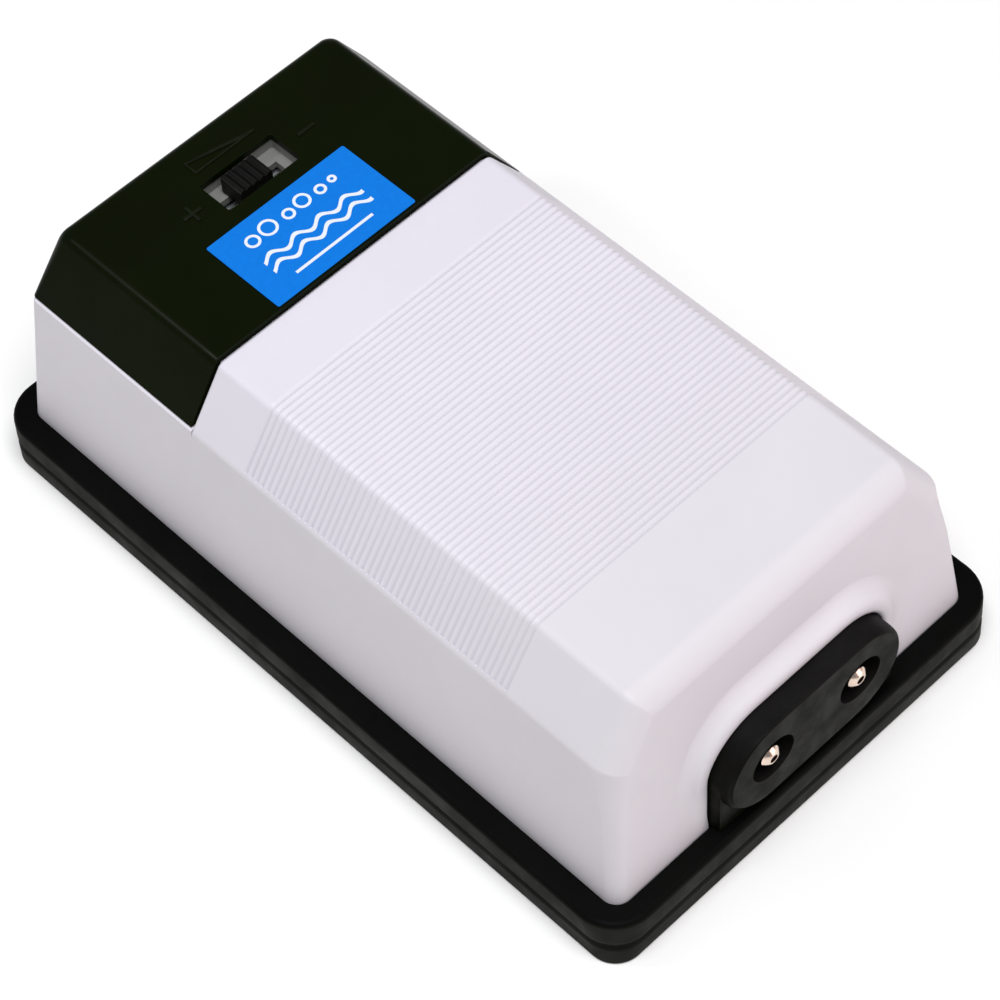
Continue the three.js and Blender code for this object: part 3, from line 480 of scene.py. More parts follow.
def white_plastic():
    """Lavender-white ABS with a fine grain and painted shade in the grooves. It is painted a touch darker
    towards the outlets and on its upright faces, as painted shade, and grey inside the well, under the
    cover, also as painted shade."""
    white = linear(216, 213, 223)
    surface = Surface("white_plastic", specular=0.3)
    # Painted shade: the upright faces are a touch darker and warmer than the upward ones.
    wall = surface.mottled(linear(209, 205, 211), 0.012, 45)
    # Painted shade: a touch darker and warmer towards the outlets.
    front_shaded = surface.mottled(linear(211, 208, 214), 0.012, 45)
    unshaded_white = surface.mottled(white, 0.012, 45)
    shaded_by_facing = surface.facing_shade(surface.mixed(surface.beyond("Y", -70, width=70), front_shaded, unshaded_white), wall)
    clean = surface.worn(shaded_by_facing, shaded(white, 1.06), amount=0.3)
    # Painted shade in the grooves and other hollows.
    grooved = surface.hollow_shade(clean, shaded(linear(192, 189, 200)), amount=0.52)
    # Painted shade: grey in the well and on the core under the cover.
    well_shade_mask = surface.beyond("Y", COVER_FRONT + 6, surface.beyond("Z", Z_SHOULDER + 3))
    return surface.finish(
        surface.mixed(well_shade_mask, grooved, shaded(linear(124, 124, 122))),
        rough=(0.42, 0.52, 260), relief=(surface.noise(5200, 2), 0.004, 0.3),
    )


def black_gloss():
    """Greenish black ABS, polished, with a little orange peel and dust."""
    surface = Surface("black_gloss", specular=0.07)
    base = surface.mottled(linear(9, 16, 1), 0.12, 30)
    dust = surface.spread(surface.noise(1900, 1), 0.0, 0.1, 0.72, 0.82)
    return surface.finish(
        surface.mixed(dust, base, shaded(linear(36, 42, 30))),
        rough=(0.27, 0.34, 140), relief=(surface.noise(420, 2), 0.006, 0.3),
    )


def raised_gloss():
    """The cover's plastic where fingers have dulled the raised marks, painted a little lighter as a painted
    highlight.
    """
    surface = Surface("raised_gloss", specular=0.1)
    return surface.finish(
        # Painted highlight: the marks are a little lighter than the cover.
        surface.mottled(linear(16, 22, 10), 0.3, 500),
        rough=(0.4, 0.55, 400), relief=(surface.noise(1500, 2), 0.01, 0.4),
    )


def black_plastic():
    surface = Surface("black_plastic", specular=0.1)
    black = linear(9, 9, 8)
    return surface.finish(
        surface.worn(surface.mottled(black, 0.15, 60), shaded(linear(34, 34, 32))),
        rough=(0.42, 0.58, 300), relief=(surface.noise(1800, 2), 0.02, 0.6),
    )


def black_rubber():
    """Matt rubber with a cloudy bloom, painted paler on its upright faces as painted light."""
    surface = Surface("black_rubber", specular=0.05)
    flat = surface.mottled(linear(3, 4, 3), 0.25, 55)
    # Painted light: the upright faces are paler than the upward ones.
    wall = surface.mottled(linear(17, 18, 13), 0.22, 90)
    return surface.finish(
        surface.facing_shade(flat, wall),
        rough=(0.5, 0.68, 120), relief=(surface.noise(1500, 4), 0.03, 0.5),
    )


def satin_block():
    """Black moulded plastic, painted grey on its upward faces and olive on its upright ones: painted light
    and shade.
    """
    surface = Surface("satin_block", specular=0.05)
    # Painted light and shade: grey on the upward faces, darker olive on the upright ones.
    flat = surface.mottled(linear(20, 19, 19), 0.25, 90)
    wall = surface.mottled(linear(9, 10, 4), 0.15, 90)
    return surface.finish(
        surface.facing_shade(flat, wall),
        rough=(0.42, 0.6, 200), relief=(surface.noise(1700, 3), 0.02, 0.4),
    )


def grey_plastic():
    surface = Surface("grey_plastic", specular=0.4)
    grey = linear(141, 144, 146)
    return surface.finish(
        surface.worn(surface.mottled(grey, 0.05, 70), shaded(grey, 1.25)),
        rough=(0.4, 0.55, 240), relief=(surface.noise(1700, 2), 0.02, 0.5),
    )


def blue_label():
    """Printed polyester film: an even blue with a faint screen-print grain."""
    surface = Surface("blue_label", specular=0.06)
    return surface.finish(
        surface.mottled(linear(16, 115, 212), 0.03, 900),
        rough=(0.35, 0.45, 700), relief=(surface.noise(3200, 1), 0.006, 0.4),
    )


def white_ink():
    surface = Surface("white_ink")
    return surface.finish(
        surface.mottled(linear(222, 228, 236), 0.03, 1200),
        rough=(0.35, 0.5, 900), relief=(surface.noise(4200, 1), 0.006, 0.5),
    )


def nickel():
    """Nickel-plated brass: warm, turned, with fine rings from the lathe."""
    surface = Surface("nickel", metallic=1.0)
    surface.brushed("Y", 0.7)
    return surface.finish(
        surface.mottled(linear(226, 205, 190), 0.08, 500),
        rough=(0.14, 0.22, 900), relief=(surface.wave("Y", 0.16, 0.4), 0.002, 0.3),
    )


def zinc_steel():
    surface = Surface("zinc_steel", metallic=1.0)
    return surface.finish(
        surface.mottled(linear(176, 178, 180), 0.12, 380),
        rough=(0.25, 0.45, 600), relief=(surface.noise(900, 3, stretch=(1, 6, 1)), 0.01, 0.5),
    )


def core_steel():
    """Stacked laminations, half a millimetre each."""
    surface = Surface("core_steel", metallic=1.0)
    sheet = surface.wave("Z", 0.5)
    steel = linear(112, 113, 116)
    return surface.finish(
        surface.ramp(sheet, (0.05, shaded(steel, 0.3)), (0.3, shaded(steel))),
        rough=(0.35, 0.6, 400), relief=(sheet, 0.08, 0.8),
    )


def magnet():
    surface = Surface("magnet", metallic=0.3)
    ferrite = surface.mottled(linear(56, 56, 58), 0.2, 700)
    return surface.finish(
        surface.worn(ferrite, shaded(linear(96, 96, 98))),
        rough=(0.5, 0.7, 900), relief=(surface.noise(2400, 4), 0.03, 0.6),
    )


def copper_wire():
    """Turns of enamelled wire, a quarter of a millimetre thick."""
    surface = Surface("copper_wire", metallic=1.0, coat=0.3)
    turn = surface.wave("Y", 0.25, 0.15)
    copper = linear(184, 98, 46)
    return surface.finish(
        surface.ramp(turn, (0.0, shaded(copper, 0.35)), (0.55, shaded(copper, 1.1))),
        rough=(0.25, 0.4, 500), relief=(turn, 0.12, 0.9),
    )


def felt():
    surface = Surface("felt", sheen=0.4)
    return surface.finish(
        surface.mottled(linear(216, 213, 203), 0.1, 900),
        rough=(0.85, 1.0, 600), relief=(surface.noise(1400, 6, 0.75), 0.25, 0.9),
    )


def silicone():
    surface = Surface("silicone", subsurface=0.25, transmission=0.25)
    return surface.finish(
        surface.mottled(linear(203, 210, 206), 0.05, 120),
        rough=(0.28, 0.42, 300), relief=(surface.noise(900, 2), 0.015, 0.4),
    )


def circuit_board():
    """Green solder mask over darker fibre, with tracks that show as slightly raised paths."""
    surface = Surface("circuit_board", specular=0.5)
    track = surface.node("TexBrick", Vector=surface.place, Scale=150, Mortar_Size=0.035)
    green = linear(30, 104, 56)
    path = track.outputs["Fac"]
    return surface.finish(
        surface.mixed(path, surface.mottled(green, 0.1, 200), shaded(green, 1.8)),
        rough=(0.3, 0.45, 400), relief=(path, 0.04, 0.8),
    )


def yellow_film():
    surface = Surface("yellow_film", coat=0.3)
    return surface.finish(
        surface.mottled(linear(199, 143, 32), 0.08, 160),
        rough=(0.25, 0.4, 300), relief=(surface.noise(300, 2), 0.03, 0.5),
    )


MATERIALS = {
    make.__name__: make()
    for make in (
        white_plastic, black_gloss, black_plastic, black_rubber, grey_plastic, blue_label, nickel,
        zinc_steel, core_steel, magnet, copper_wire, felt, silicone, circuit_board, yellow_film,
    )
}


def finish_piece(obj, slot, body, *nodes, material=None):
    """Gives a piece its material, picked by its slot, and its body, and hides the CAD nodes that it stands
    for. A piece with None for its body, such as one between two bodies, is left unattached."""
    obj.data.materials.clear()
    obj.data.materials.append(material or MATERIALS[slot])
    if body:
        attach(obj, body)
    if nodes:
        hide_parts(*nodes)


# ---------------------------------------------------------------- white housing


def crossing(first, second):
    """The point where two lines meet. A line is (angle of its outward normal in degrees, offset)."""
    rows = [[math.cos(math.radians(a)), math.sin(math.radians(a))] for a, _ in (first, second)]
    return np.linalg.solve(np.array(rows), np.array([first[1], second[1]]))


def fillet(first, second, radius, steps):
    """Points round the corner of two lines, from the first to the second."""
    centre = crossing(*((angle, offset - radius) for angle, offset in (first, second)))
    return arc(centre, radius, first[0], second[0], steps)


def line_through(point, angle):
    turn = math.radians(angle)
    return (angle, point[0] * math.cos(turn) + point[1] * math.sin(turn))


SIDE_ANGLE = math.degrees(math.atan2(HALF_W_RIM - HALF_W_SHOULDER, Z_SHOULDER - Z_RIM))
CHAMFER_ANGLE = math.degrees(math.atan2(HALF_W_SHOULDER - HALF_W_TOP, Z_TOP - Z_SHOULDER))
CORE_ANGLE = math.degrees(math.atan(COVER_LEAN))
SIDE_LINE = line_through((HALF_W_RIM, Z_RIM), SIDE_ANGLE)
CHAMFER_LINE = line_through((HALF_W_SHOULDER, Z_SHOULDER), CHAMFER_ANGLE)
TOP_LINE = (90.0, Z_TOP)
CORE_LINE = line_through((COVER_HALF_W - COVER_WALL - 2 * GAP, COVER_BOTTOM), CORE_ANGLE)
CORE_TOP_LINE = (90.0, CORE_TOP)
LEDGE_LINE = (90.0, LEDGE_Z)
SIDE_HEIGHTS = (Z_HOUSING, Z_RIM, 24.0, 31.0, 34.0, 37.0, 39.5, 41.5)
CORNER_STEPS = 6


def inset_line(line, inset):
    return (line[0], line[1] - inset)


def x_on(line, z):
    turn = math.radians(line[0])
    return (line[1] - z * math.sin(turn)) / math.cos(turn)


def between(first, second, share):
    return (first[0] + (second[0] - first[0]) * share, first[1] + (second[1] - first[1]) * share)


def upper_points(low_corner, ridge, top_z):
    """The stretch from above the shoulder to the middle of the top."""
    chamfer = [between(low_corner, ridge[0], share) for share in (0.05, 0.5, 0.97)]
    top = [(ridge[-1][0] * share, top_z) for share in (0.97, 0.5)]
    return [*chamfer, *ridge, *top]


def outer_half(inset=0.0, groove=0.0, side_inset=lambda z: 0.0):
    """Right half of the housing's outline, from the lower edge to the middle of the top.
    Shoulder, chamfer and top share one inset; the side below them has its own at each height."""
    side = inset_line(SIDE_LINE, side_inset(Z_SHOULDER))
    chamfer, top = (inset_line(line, inset) for line in (CHAMFER_LINE, TOP_LINE))
    sunk = (inset_line(chamfer, groove), inset_line(top, groove))
    rounding = max(SHOULDER_RADIUS - inset, LEAST_RADIUS)
    shoulder = fillet(side, chamfer, rounding, CORNER_STEPS)
    ridge = fillet(*sunk, max(RIDGE_RADIUS - inset - groove, LEAST_RADIUS), CORNER_STEPS)
    foot = fillet(side, sunk[0], max(rounding - groove, LEAST_RADIUS), CORNER_STEPS)[-1]
    lower = [(x_on(SIDE_LINE, z) - side_inset(z), z) for z in SIDE_HEIGHTS]
    return [*lower, *shoulder, *upper_points(foot, ridge, top[1] - groove)]


def rear_corner(z):
    share = min(max((z - Z_RIM) / (Z_SHOULDER - Z_RIM), 0), 1)
    return REAR_CORNER_RIM + share * (REAR_CORNER_SHOULDER - REAR_CORNER_RIM)


def core_half(side_share=0.0, core_inset=0.0):
    """The outline under the black cover: a ledge at the shoulder and a narrower core above it.
    The side is drawn in by a share of the rear corner's radius."""
    side = inset_line(SIDE_LINE, REAR_CORNER_SHOULDER * side_share)
    core, top = (inset_line(line, core_inset) for line in (CORE_LINE, CORE_TOP_LINE))
    shoulder = fillet(side, LEDGE_LINE, LEDGE_RADIUS, CORNER_STEPS)
    ridge = fillet(core, top, CORE_RIDGE_RADIUS, CORNER_STEPS)
    foot = (x_on(core, LEDGE_Z), LEDGE_Z)
    lower = [(x_on(SIDE_LINE, z) - rear_corner(z) * side_share, z) for z in SIDE_HEIGHTS]
    upper = upper_points(foot, ridge, top[1])
    upper[0] = foot
    return [*lower, *shoulder, *upper]


LOWER_COUNT = len(SIDE_HEIGHTS) + CORNER_STEPS + 1


def whole_ring(half, y_of):
    """Mirrors a half outline and gives each point its Y. y_of takes the point's index and height."""
    right = [(x, y_of(i, z), z) for i, (x, z) in enumerate(half)]
    left = [(-x, y, z) for x, y, z in reversed(right)]
    return right + left


def end_y(z):
    return HALF_L_RIM - (z - Z_RIM) * END_DRAFT


def front_radius(z):
    """The upright front corners are tight, and open out towards the shoulder and the top edge."""
    low, high = 29.0, 42.0
    share = min(max((z - low) / (high - low), 0), 1)
    return FRONT_CORNER + share**2 * (3 - 2 * share) * (FRONT_EDGE - FRONT_CORNER)


def front_ring(turn):
    """One outline of the rounded front end."""
    drawn_in = 1 - math.sin(turn)
    half = outer_half(FRONT_EDGE * drawn_in, side_inset=lambda z: front_radius(z) * drawn_in)
    return whole_ring(half, lambda _, z: front_radius(z) * (1 - math.cos(turn)) - end_y(z))


def rear_ring(turn):
    """One outline of the rear end, where the core ends ahead of the wall below it."""
    def rear_y(i, z):
        if i < LOWER_COUNT:
            return end_y(z) - rear_corner(z) * (1 - math.sin(turn))
        return CORE_REAR - CORE_RADIUS * (1 - math.sin(turn))

    share = 1 - math.cos(turn)
    return whole_ring(core_half(share, CORE_RADIUS * share), rear_y)


def housing_rings():
    """Outlines from front to rear: the round front, the grooves, the step to the core, the round rear."""
    steps = 8
    turns = [math.pi / 2 * k / steps for k in range(steps + 1)]
    rings = [front_ring(turn) for turn in turns]
    for i in reversed(range(GROOVE_COUNT)):
        for share in GROOVE_SECTION:
            depth = GROOVE_DEPTH * (1 + math.cos(math.pi * share)) / 2
            y = GROOVE_FIRST_Y - GROOVE_PITCH * i + share * GROOVE_HALF
            rings.append(whole_ring(outer_half(0, depth), lambda _, z, y=y: y))
    step = COVER_FRONT - GAP
    edge = 0.6
    for turn in (math.radians(degrees) for degrees in (0, 30, 60, 85)):
        back = edge * math.sin(turn)
        inset = edge * (1 - math.cos(turn))
        rings.append(whole_ring(outer_half(inset), lambda i, z, y=step - edge + back: y))
    rings.append(whole_ring(core_half(), lambda i, z: step))
    rings += [rear_ring(turn) for turn in turns]
    last = core_half(1, CORE_RADIUS)
    sunk = [p if i < LOWER_COUNT else (p[0], LEDGE_Z) for i, p in enumerate(last)]
    rings.append(whole_ring(sunk, lambda i, z: end_y(z) if i < LOWER_COUNT else CORE_REAR))
    rings.append(whole_ring(sunk, lambda i, z: end_y(z)))
    return rings


def arch_points(offset, bottom, steps=24):
    """Upright arch in the XZ plane with rounded shoulders, grown by an offset."""
    centre_x = BLOCK_HALF_W - BLOCK_CORNER
    centre_z = BLOCK_TOP - BLOCK_CORNER
    radius = BLOCK_CORNER + offset
    half_w = BLOCK_HALF_W + offset
    right = arc((centre_x, centre_z), radius, 0, 90, steps)
    left = arc((-centre_x, centre_z), radius, 90, 180, steps)
    return [(half_w, bottom), *right, *left, (-half_w, bottom)]


def collar():
    """A soft swelling round the outlet block. Seen in section it rolls out from the block's edge,
    leans back and hollows out into the wall, which it meets again at the rim of the boot."""
    lip_radius = 1.0
    lip_offset = 0.1
    roll, hollow, lean = 2.5, 3.9, 62
    start = lip_offset + lip_radius
    bottom = 8.0
    buried = 0.03
    deepest = 4.5
    trace = 0.02
    inner_end = -66.5

    def wall_y(z):
        return min(buried - end_y(z), COLLAR_LIP + deepest)

    rings = [
        [(x, COLLAR_LIP + back, z) for x, z in arch_points(offset, bottom)]
        for offset, back in arc((start, lip_radius), lip_radius, 180, 265, 5)
    ]
    rolled = [(start + a, b + roll) for a, b in arc((0, 0), roll, -90, lean - 90, 8)]
    end = (start + (roll + hollow) * math.sin(math.radians(lean)),
           (roll + hollow) * (1 - math.cos(math.radians(lean))))
    hollowed = [(end[0] + a, end[1] + b - hollow) for a, b in arc((0, 0), hollow, 90 + lean, 90, 12)]
    for offset, back in rolled + hollowed[1:]:
        share = back / end[1]
        rings.append([
            (x, COLLAR_LIP + max(wall_y(z) - COLLAR_LIP, trace) * share, z)
            for x, z in arch_points(offset, bottom)
        ])
    rings.append([(x, inner_end, z) for x, z in arch_points(end[0] + trace, bottom)])
    return loft("collar", rings)


def side_half(z):
    return x_on(SIDE_LINE if z <= Z_SHOULDER else CHAMFER_LINE, z)


def cavity():
    """The hollow inside the housing: below the shoulder, between the chamfers, and in the core."""
    chamfer_wall = 2.7
    core_wall = 2.4
    corner, per_corner = 3, 6
    overlap_z = Z_SHOULDER - 1
    low = [
        level_ring(side_half(z) - WALL, WALL - end_y(z), end_y(z) - WALL, corner, z, per_corner)
        for z in (1.0, Z_SHOULDER - 0.5)
    ]
    front = [
        level_ring(side_half(z) - chamfer_wall, y, COVER_FRONT - 2.5, corner, z, per_corner)
        for z, y in ((overlap_z, -69.1), (50.0, -67.6), (Z_TOP - WALL, -64.0))
    ]
    rear = [
        level_ring(x_on(CORE_LINE, z) - core_wall, 15, 67, corner, z, per_corner)
        for z in (overlap_z, CORE_TOP - 3.6)
    ]
    return [loft("cavity", rings) for rings in (low, front, rear)]


def housing_shell():
    """The white case: its skin and collar, hollowed out, with screw bosses, board posts and openings."""
    shell = loft("housing_shell", housing_rings())
    join(shell, collar())
    cut(shell, *cavity())
    board_screw = (BOARD_SCREW_LOW + BOARD_SCREW_HIGH) / 2
    posts = [(side * board_screw.x, board_screw.y) for _, side in SIDES]
    plate_top = 5.0
    bosses = rods("boss", SCREW_PLACES, 3.5, plate_top + GAP, 43, 32)
    bosses += rods("post", posts, 2.8, BOARD_TOP + GAP, CORE_TOP - 3.1, 32)
    join(shell, merged("bosses", bosses))
    pilots = rods("pilot", SCREW_PLACES, 1.75, 4, 17, 24)
    pilots += rods("pilot", posts, 1.4, BOARD_TOP - 0.6, CORE_TOP - 5.3, 24)
    cut(shell, merged("pilots", pilots))
    well = flat_ring(SLOT_HALF_W + GAP, SLOT_HALF_L + GAP, 0.6, SLOT_Y)
    cut(shell, prism("well", well, "z", WELL_FLOOR, ABOVE_TOP))
    stem_half_w, stem_half_l, stem_top = 6.8, 1.2, 54
    stem_y = (SLOT_Y - stem_half_l, SLOT_Y + stem_half_l)
    cut(shell, block("stem_slot", (-stem_half_w, stem_half_w), stem_y, (UNDER_TOP, stem_top)))
    cut(shell, prism("arch", arch_points(GAP, 0), "y", -85, -62))
    grommet_hole = 5.3
    cut(shell, rod("cord_hole", "y", grommet_hole, (0, CORD_Z), 66, 80))
    return smooth(shell, 38)


finish_piece(housing_shell(), "white_plastic", "case", "upper_housing")

# ---------------------------------------------------------------- black cover, label, knob


def cover_side(z, base, lean):
    """How far out a wall of the cover is at a height. It leans in from its base to a round top edge."""
    def straight(height):
        return base - (height - COVER_BOTTOM) * lean

    radius = COVER_RIDGE_RADIUS
    angle = math.atan(lean)
    centre_z = COVER_TOP - radius
    centre = straight(centre_z) - radius / math.cos(angle)
    if z <= centre_z + radius * math.sin(angle):
        return straight(z)
    return centre + math.sqrt(max(radius**2 - (z - centre_z) ** 2, 0))


def cover_marks():
    """Moulded plus and minus signs beside the slot, and a wedge behind it that thins towards minus."""
    height = (COVER_TOP - 0.02, COVER_HIGH.z)
    mark_x = 13.45
    arm, half = 2.0, 0.35
    level = (SLOT_Y - half, SLOT_Y + half)
    wedge = prism("wedge", [(-7, 62.6), (7, 62.6), (7, 63.1), (-7, 66)], "z", *height)
    cut(wedge, prism("hollow", [(-6.6, 63.0), (3.6, 63.0), (-6.6, 65.4)], "z", UNDER_TOP, ABOVE_TOP))
    plus = block("plus", (-mark_x - arm, -mark_x + arm), level, height)
    join(plus, block("upright", (-mark_x - half, -mark_x + half), (SLOT_Y - arm, SLOT_Y + arm), height))
    minus = block("minus", (mark_x - arm, mark_x + arm), level, height)
    return smooth(round_edges(merged("marks", [plus, minus, wedge]), 0.08, segments=2))


def cover_shell():
    """The cover, made too long, hollowed out from below, and cut off square at its front."""
    front = COVER_FRONT - 12
    rear_lean = (COVER_REAR - COVER_REAR_TOP) / (COVER_TOP - COVER_BOTTOM)
    steps = 10
    turns = [math.radians(90 * k / steps) for k in range(steps + 1)]
    arc_heights = [COVER_TOP - COVER_RIDGE_RADIUS * (1 - math.sin(t)) for t in turns]
    rings = []
    for z in [COVER_BOTTOM, COVER_BOTTOM + 5, *arc_heights]:
        half = cover_side(z, COVER_HALF_W, COVER_LEAN)
        rear = cover_side(z, COVER_REAR, rear_lean)
        share = (z - COVER_BOTTOM) / (COVER_TOP - COVER_BOTTOM)
        corner = COVER_CORNER_BOTTOM + share * (COVER_CORNER_TOP - COVER_CORNER_BOTTOM)
        rings.append(level_ring(half, front, rear, corner, z))
    shell = loft("cover_shell", rings)
    inset = COVER_WALL + GAP
    inner = []
    for z in (COVER_BOTTOM - 2, COVER_TOP - COVER_WALL):
        half = COVER_HALF_W - inset - (z - COVER_BOTTOM) * COVER_LEAN
        inner.append(level_ring(half, front - 5, COVER_REAR_TOP - inset + 0.3, 1.0, z))
    cut(shell, loft("inner", inner))
    cut(shell, block("front", (-60, 60), (0, COVER_FRONT), (40, ABOVE_TOP)))
    slot = flat_ring(SLOT_HALF_W, SLOT_HALF_L, 0.4, SLOT_Y)
    cut(shell, prism("slot", slot, "z", UNDER_TOP, ABOVE_TOP))
    round_edges(shell, 0.28)
    return smooth(shell, 38)


finish_piece(cover_shell(), "black_gloss", "case", "top_cover")
finish_piece(cover_marks(), "black_gloss", "case", material=raised_gloss())


LABEL_X = (LABEL_LOW.x + LABEL_HIGH.x) / 2
LABEL_Y = (LABEL_LOW.y + LABEL_HIGH.y) / 2
PRINT_SPAN = (LABEL_HIGH.z - 0.01, LABEL_HIGH.z + 0.02)


def label_film():
    half_w = (LABEL_HIGH.x - LABEL_LOW.x) / 2
    half_l = (LABEL_HIGH.y - LABEL_LOW.y) / 2
    outline = flat_ring(half_w, half_l, 0.4, LABEL_Y, LABEL_X)
    film = prism("label_film", outline, "z", LABEL_LOW.z, LABEL_HIGH.z)
    return smooth(round_edges(film, 0.06, segments=2))


def ring_print(centre, radius, line):
    """A flat printed ring."""
    low, high = PRINT_SPAN
    profile = [(low, radius - line), (low, radius), (high, radius), (high, radius - line)]
    return turned("ring", "z", profile, centre, 40)


def ribbon_print(middle_of, xs, width):
    """A flat printed band that follows a curve across the label."""
    upper = [(x, middle_of(x) + width / 2) for x in xs]
    lower = [(x, middle_of(x) - width / 2) for x in reversed(xs)]
    return prism("ribbon", upper + lower, "z", *PRINT_SPAN)


def label_print():
    """Generic artwork: rising bubbles over two waves and a line."""
    bubbles = [
        (-9.5, 4.6, 1.5), (-5.6, 5.0, 1.9), (-1.0, 4.7, 1.3),
        (2.6, 5.2, 1.7), (6.6, 4.8, 1.2), (9.6, 5.1, 0.9),
    ]
    parts = [ring_print((LABEL_X + x, LABEL_Y + y), radius, 0.55) for x, y, radius in bubbles]
    wave_half, line_half = 11.5, 9.0
    xs = list(np.linspace(LABEL_X - wave_half, LABEL_X + wave_half, 70))
    for drop in (0.2, 2.6):
        def wave(x, level=LABEL_Y - drop):
            return level + 0.75 * math.sin(x * 1.09)

        parts.append(ribbon_print(wave, xs, 0.85))
    parts.append(ribbon_print(lambda x: LABEL_Y - 6.0, [LABEL_X - line_half, LABEL_X + line_half], 0.6))
    return smooth(merged("label_print", parts))


finish_piece(label_film(), "blue_label", "case", "label_plate")
finish_piece(label_print(), "blue_label", "case", material=white_ink())


def knob_cap():
    """The flow knob: five rounded ridges across its top, and a socket for the stem below."""
    middle = (KNOB_LOW.x + KNOB_HIGH.x) / 2
    half = (KNOB_HIGH.x - KNOB_LOW.x) / 2
    pitch = 2 * half / 5
    ridge = 0.45
    socket = (middle - 1.3, middle + 1.3)
    top = [
        (middle + x, KNOB_HIGH.z - ridge * (1 - math.cos(2 * math.pi * x / pitch)) / 2)
        for x in np.linspace(-half, half, 61)
    ]
    outline = [(middle + half, KNOB_LOW.z), (middle - half, KNOB_LOW.z), *top]
    cap = prism("knob_cap", outline, "y", KNOB_LOW.y, KNOB_HIGH.y)
    cut(cap, block("socket", socket, (SLOT_Y - 1, SLOT_Y + 1), (UNDER_TOP, 55.9)))
    round_edges(cap, 0.22, 50)
    return smooth(cap)


finish_piece(knob_cap(), "black_plastic", "flow_slider", "flow_knob")

# ---------------------------------------------------------------- rubber boot


def boot_corner(z):
    """The radius of the boot's corners, which are a little rounder at the top."""
    bottom, top = 6.0, 8.3
    return bottom + (top - bottom) * min(z / (Z_RIM - 1.8), 1)


def boot_skirt():
    """The boot's section from the floor up its grooved side, over its rim, and down round the opening."""
    half_w, half_l = BOOT_HIGH.x, BOOT_HIGH.y
    floor = 2.3
    opening = (30.0, 60.0, 6.0)
    top_radius = 1.1
    outside = [(1.15, 0), (0.8, 0.1), (0.62, 0.45), (0.34, 4.3), (0.36, 4.7), (0.5, 5.1), (0.66, 5.5)]
    outside += [(0.68, 5.8), (0.54, 6.2), (0.28, 6.7), (0.18, 7.2)]
    outside += [
        (top_radius - x, z)
        for x, z in arc((0, Z_RIM - top_radius), top_radius, 0, 90, 6)
    ]
    rings = [
        level_ring(half_w - inset, inset - half_l, half_l - inset, boot_corner(z) - inset, z)
        for inset, z in outside
    ]
    clearance = 0.1
    lip = 0.35
    for z, wider in ((Z_RIM, lip), (Z_RIM - 0.12, 0.12), (Z_RIM - lip, 0), (floor, 0)):
        grow = clearance + wider
        end = end_y(z) + grow
        rings.append(level_ring(side_half(z) + grow, -end, end, FRONT_CORNER + grow, z))
    edge = 0.3
    for z, wider in ((floor, edge), (floor - 0.1, 0.1), (floor - edge, 0), (edge, 0), (0, edge)):
        wide, long, radius = (value + wider for value in opening)
        rings.append(level_ring(wide, -long, long, radius, z))
    skirt = loft("boot_skirt", rings, ring_shaped=True)
    cut(skirt, merged("holes", rods("hole", SCREW_PLACES, 4, -1, 4)))
    return smooth(skirt, 45)


finish_piece(boot_skirt(), "black_rubber", "case", "rubber_boot")

# ---------------------------------------------------------------- outlets and cord inlet


def obround(y, half_w, centre_z, radius):
    """Upright ring with round ends in the plane at y."""
    end = half_w - radius
    right = arc((end, centre_z), radius, -90, 90, 28)
    left = arc((-end, centre_z), radius, 90, 270, 28)
    return [(x, y, z) for x, z in right + left]


def outlet_body():
    """An arch with a boss that swells from its face back to the arch's own outline."""
    body = prism("outlet_body", arch_points(0, Z_RIM + GAP), "y", BLOCK_FRONT, BLOCK_HIGH.y)
    across = (-BLOCK_HALF_W, BLOCK_HALF_W)
    join(body, block("tongue", across, (-74.8, BLOCK_HIGH.y), (BLOCK_LOW.z, Z_RIM + 1)))
    round_edges(body, 0.25, 50)
    trace = 0.02
    edge = 0.35
    full = (BLOCK_HALF_W - trace, BLOCK_TOP - BLOCK_CORNER, BLOCK_CORNER - trace)
    face = (BOSS_HALF_W + edge, BOSS_Z, BOSS_RADIUS + edge)
    rings = [obround(BLOCK_FRONT + 1, *full), obround(BLOCK_FRONT, *full)]
    steps = 4
    for turn in (math.pi / 2 * k / steps for k in range(1, steps + 1)):
        shape = [a + (b - a) * (1 - math.cos(turn)) for a, b in zip(full, face)]
        rings.append(obround(BLOCK_FRONT + (BOSS_FRONT + edge - BLOCK_FRONT) * math.sin(turn), *shape))
    for turn in (math.radians(degrees) for degrees in (30, 60, 90)):
        drop = edge * (1 - math.cos(turn))
        grow = edge * (1 - math.sin(turn))
        rings.append(obround(BOSS_FRONT + grow, face[0] - drop, BOSS_Z, face[2] - drop))
    join(body, loft("boss", rings))
    centres = [(side * OUTLET_X, OUTLET_Z) for _, side in SIDES]
    recesses = [rod("recess", "y", RECESS_RADIUS, centre, -85, RECESS_FLOOR, 64) for centre in centres]
    cut(body, merged("recesses", recesses))
    bores = [rod("bore", "y", 2.45, centre, -72, -60, 40) for centre in centres]
    cut(body, merged("bores", bores))
    return smooth(body)


finish_piece(outlet_body(), "black_rubber", "case", "outlet_block", material=satin_block())


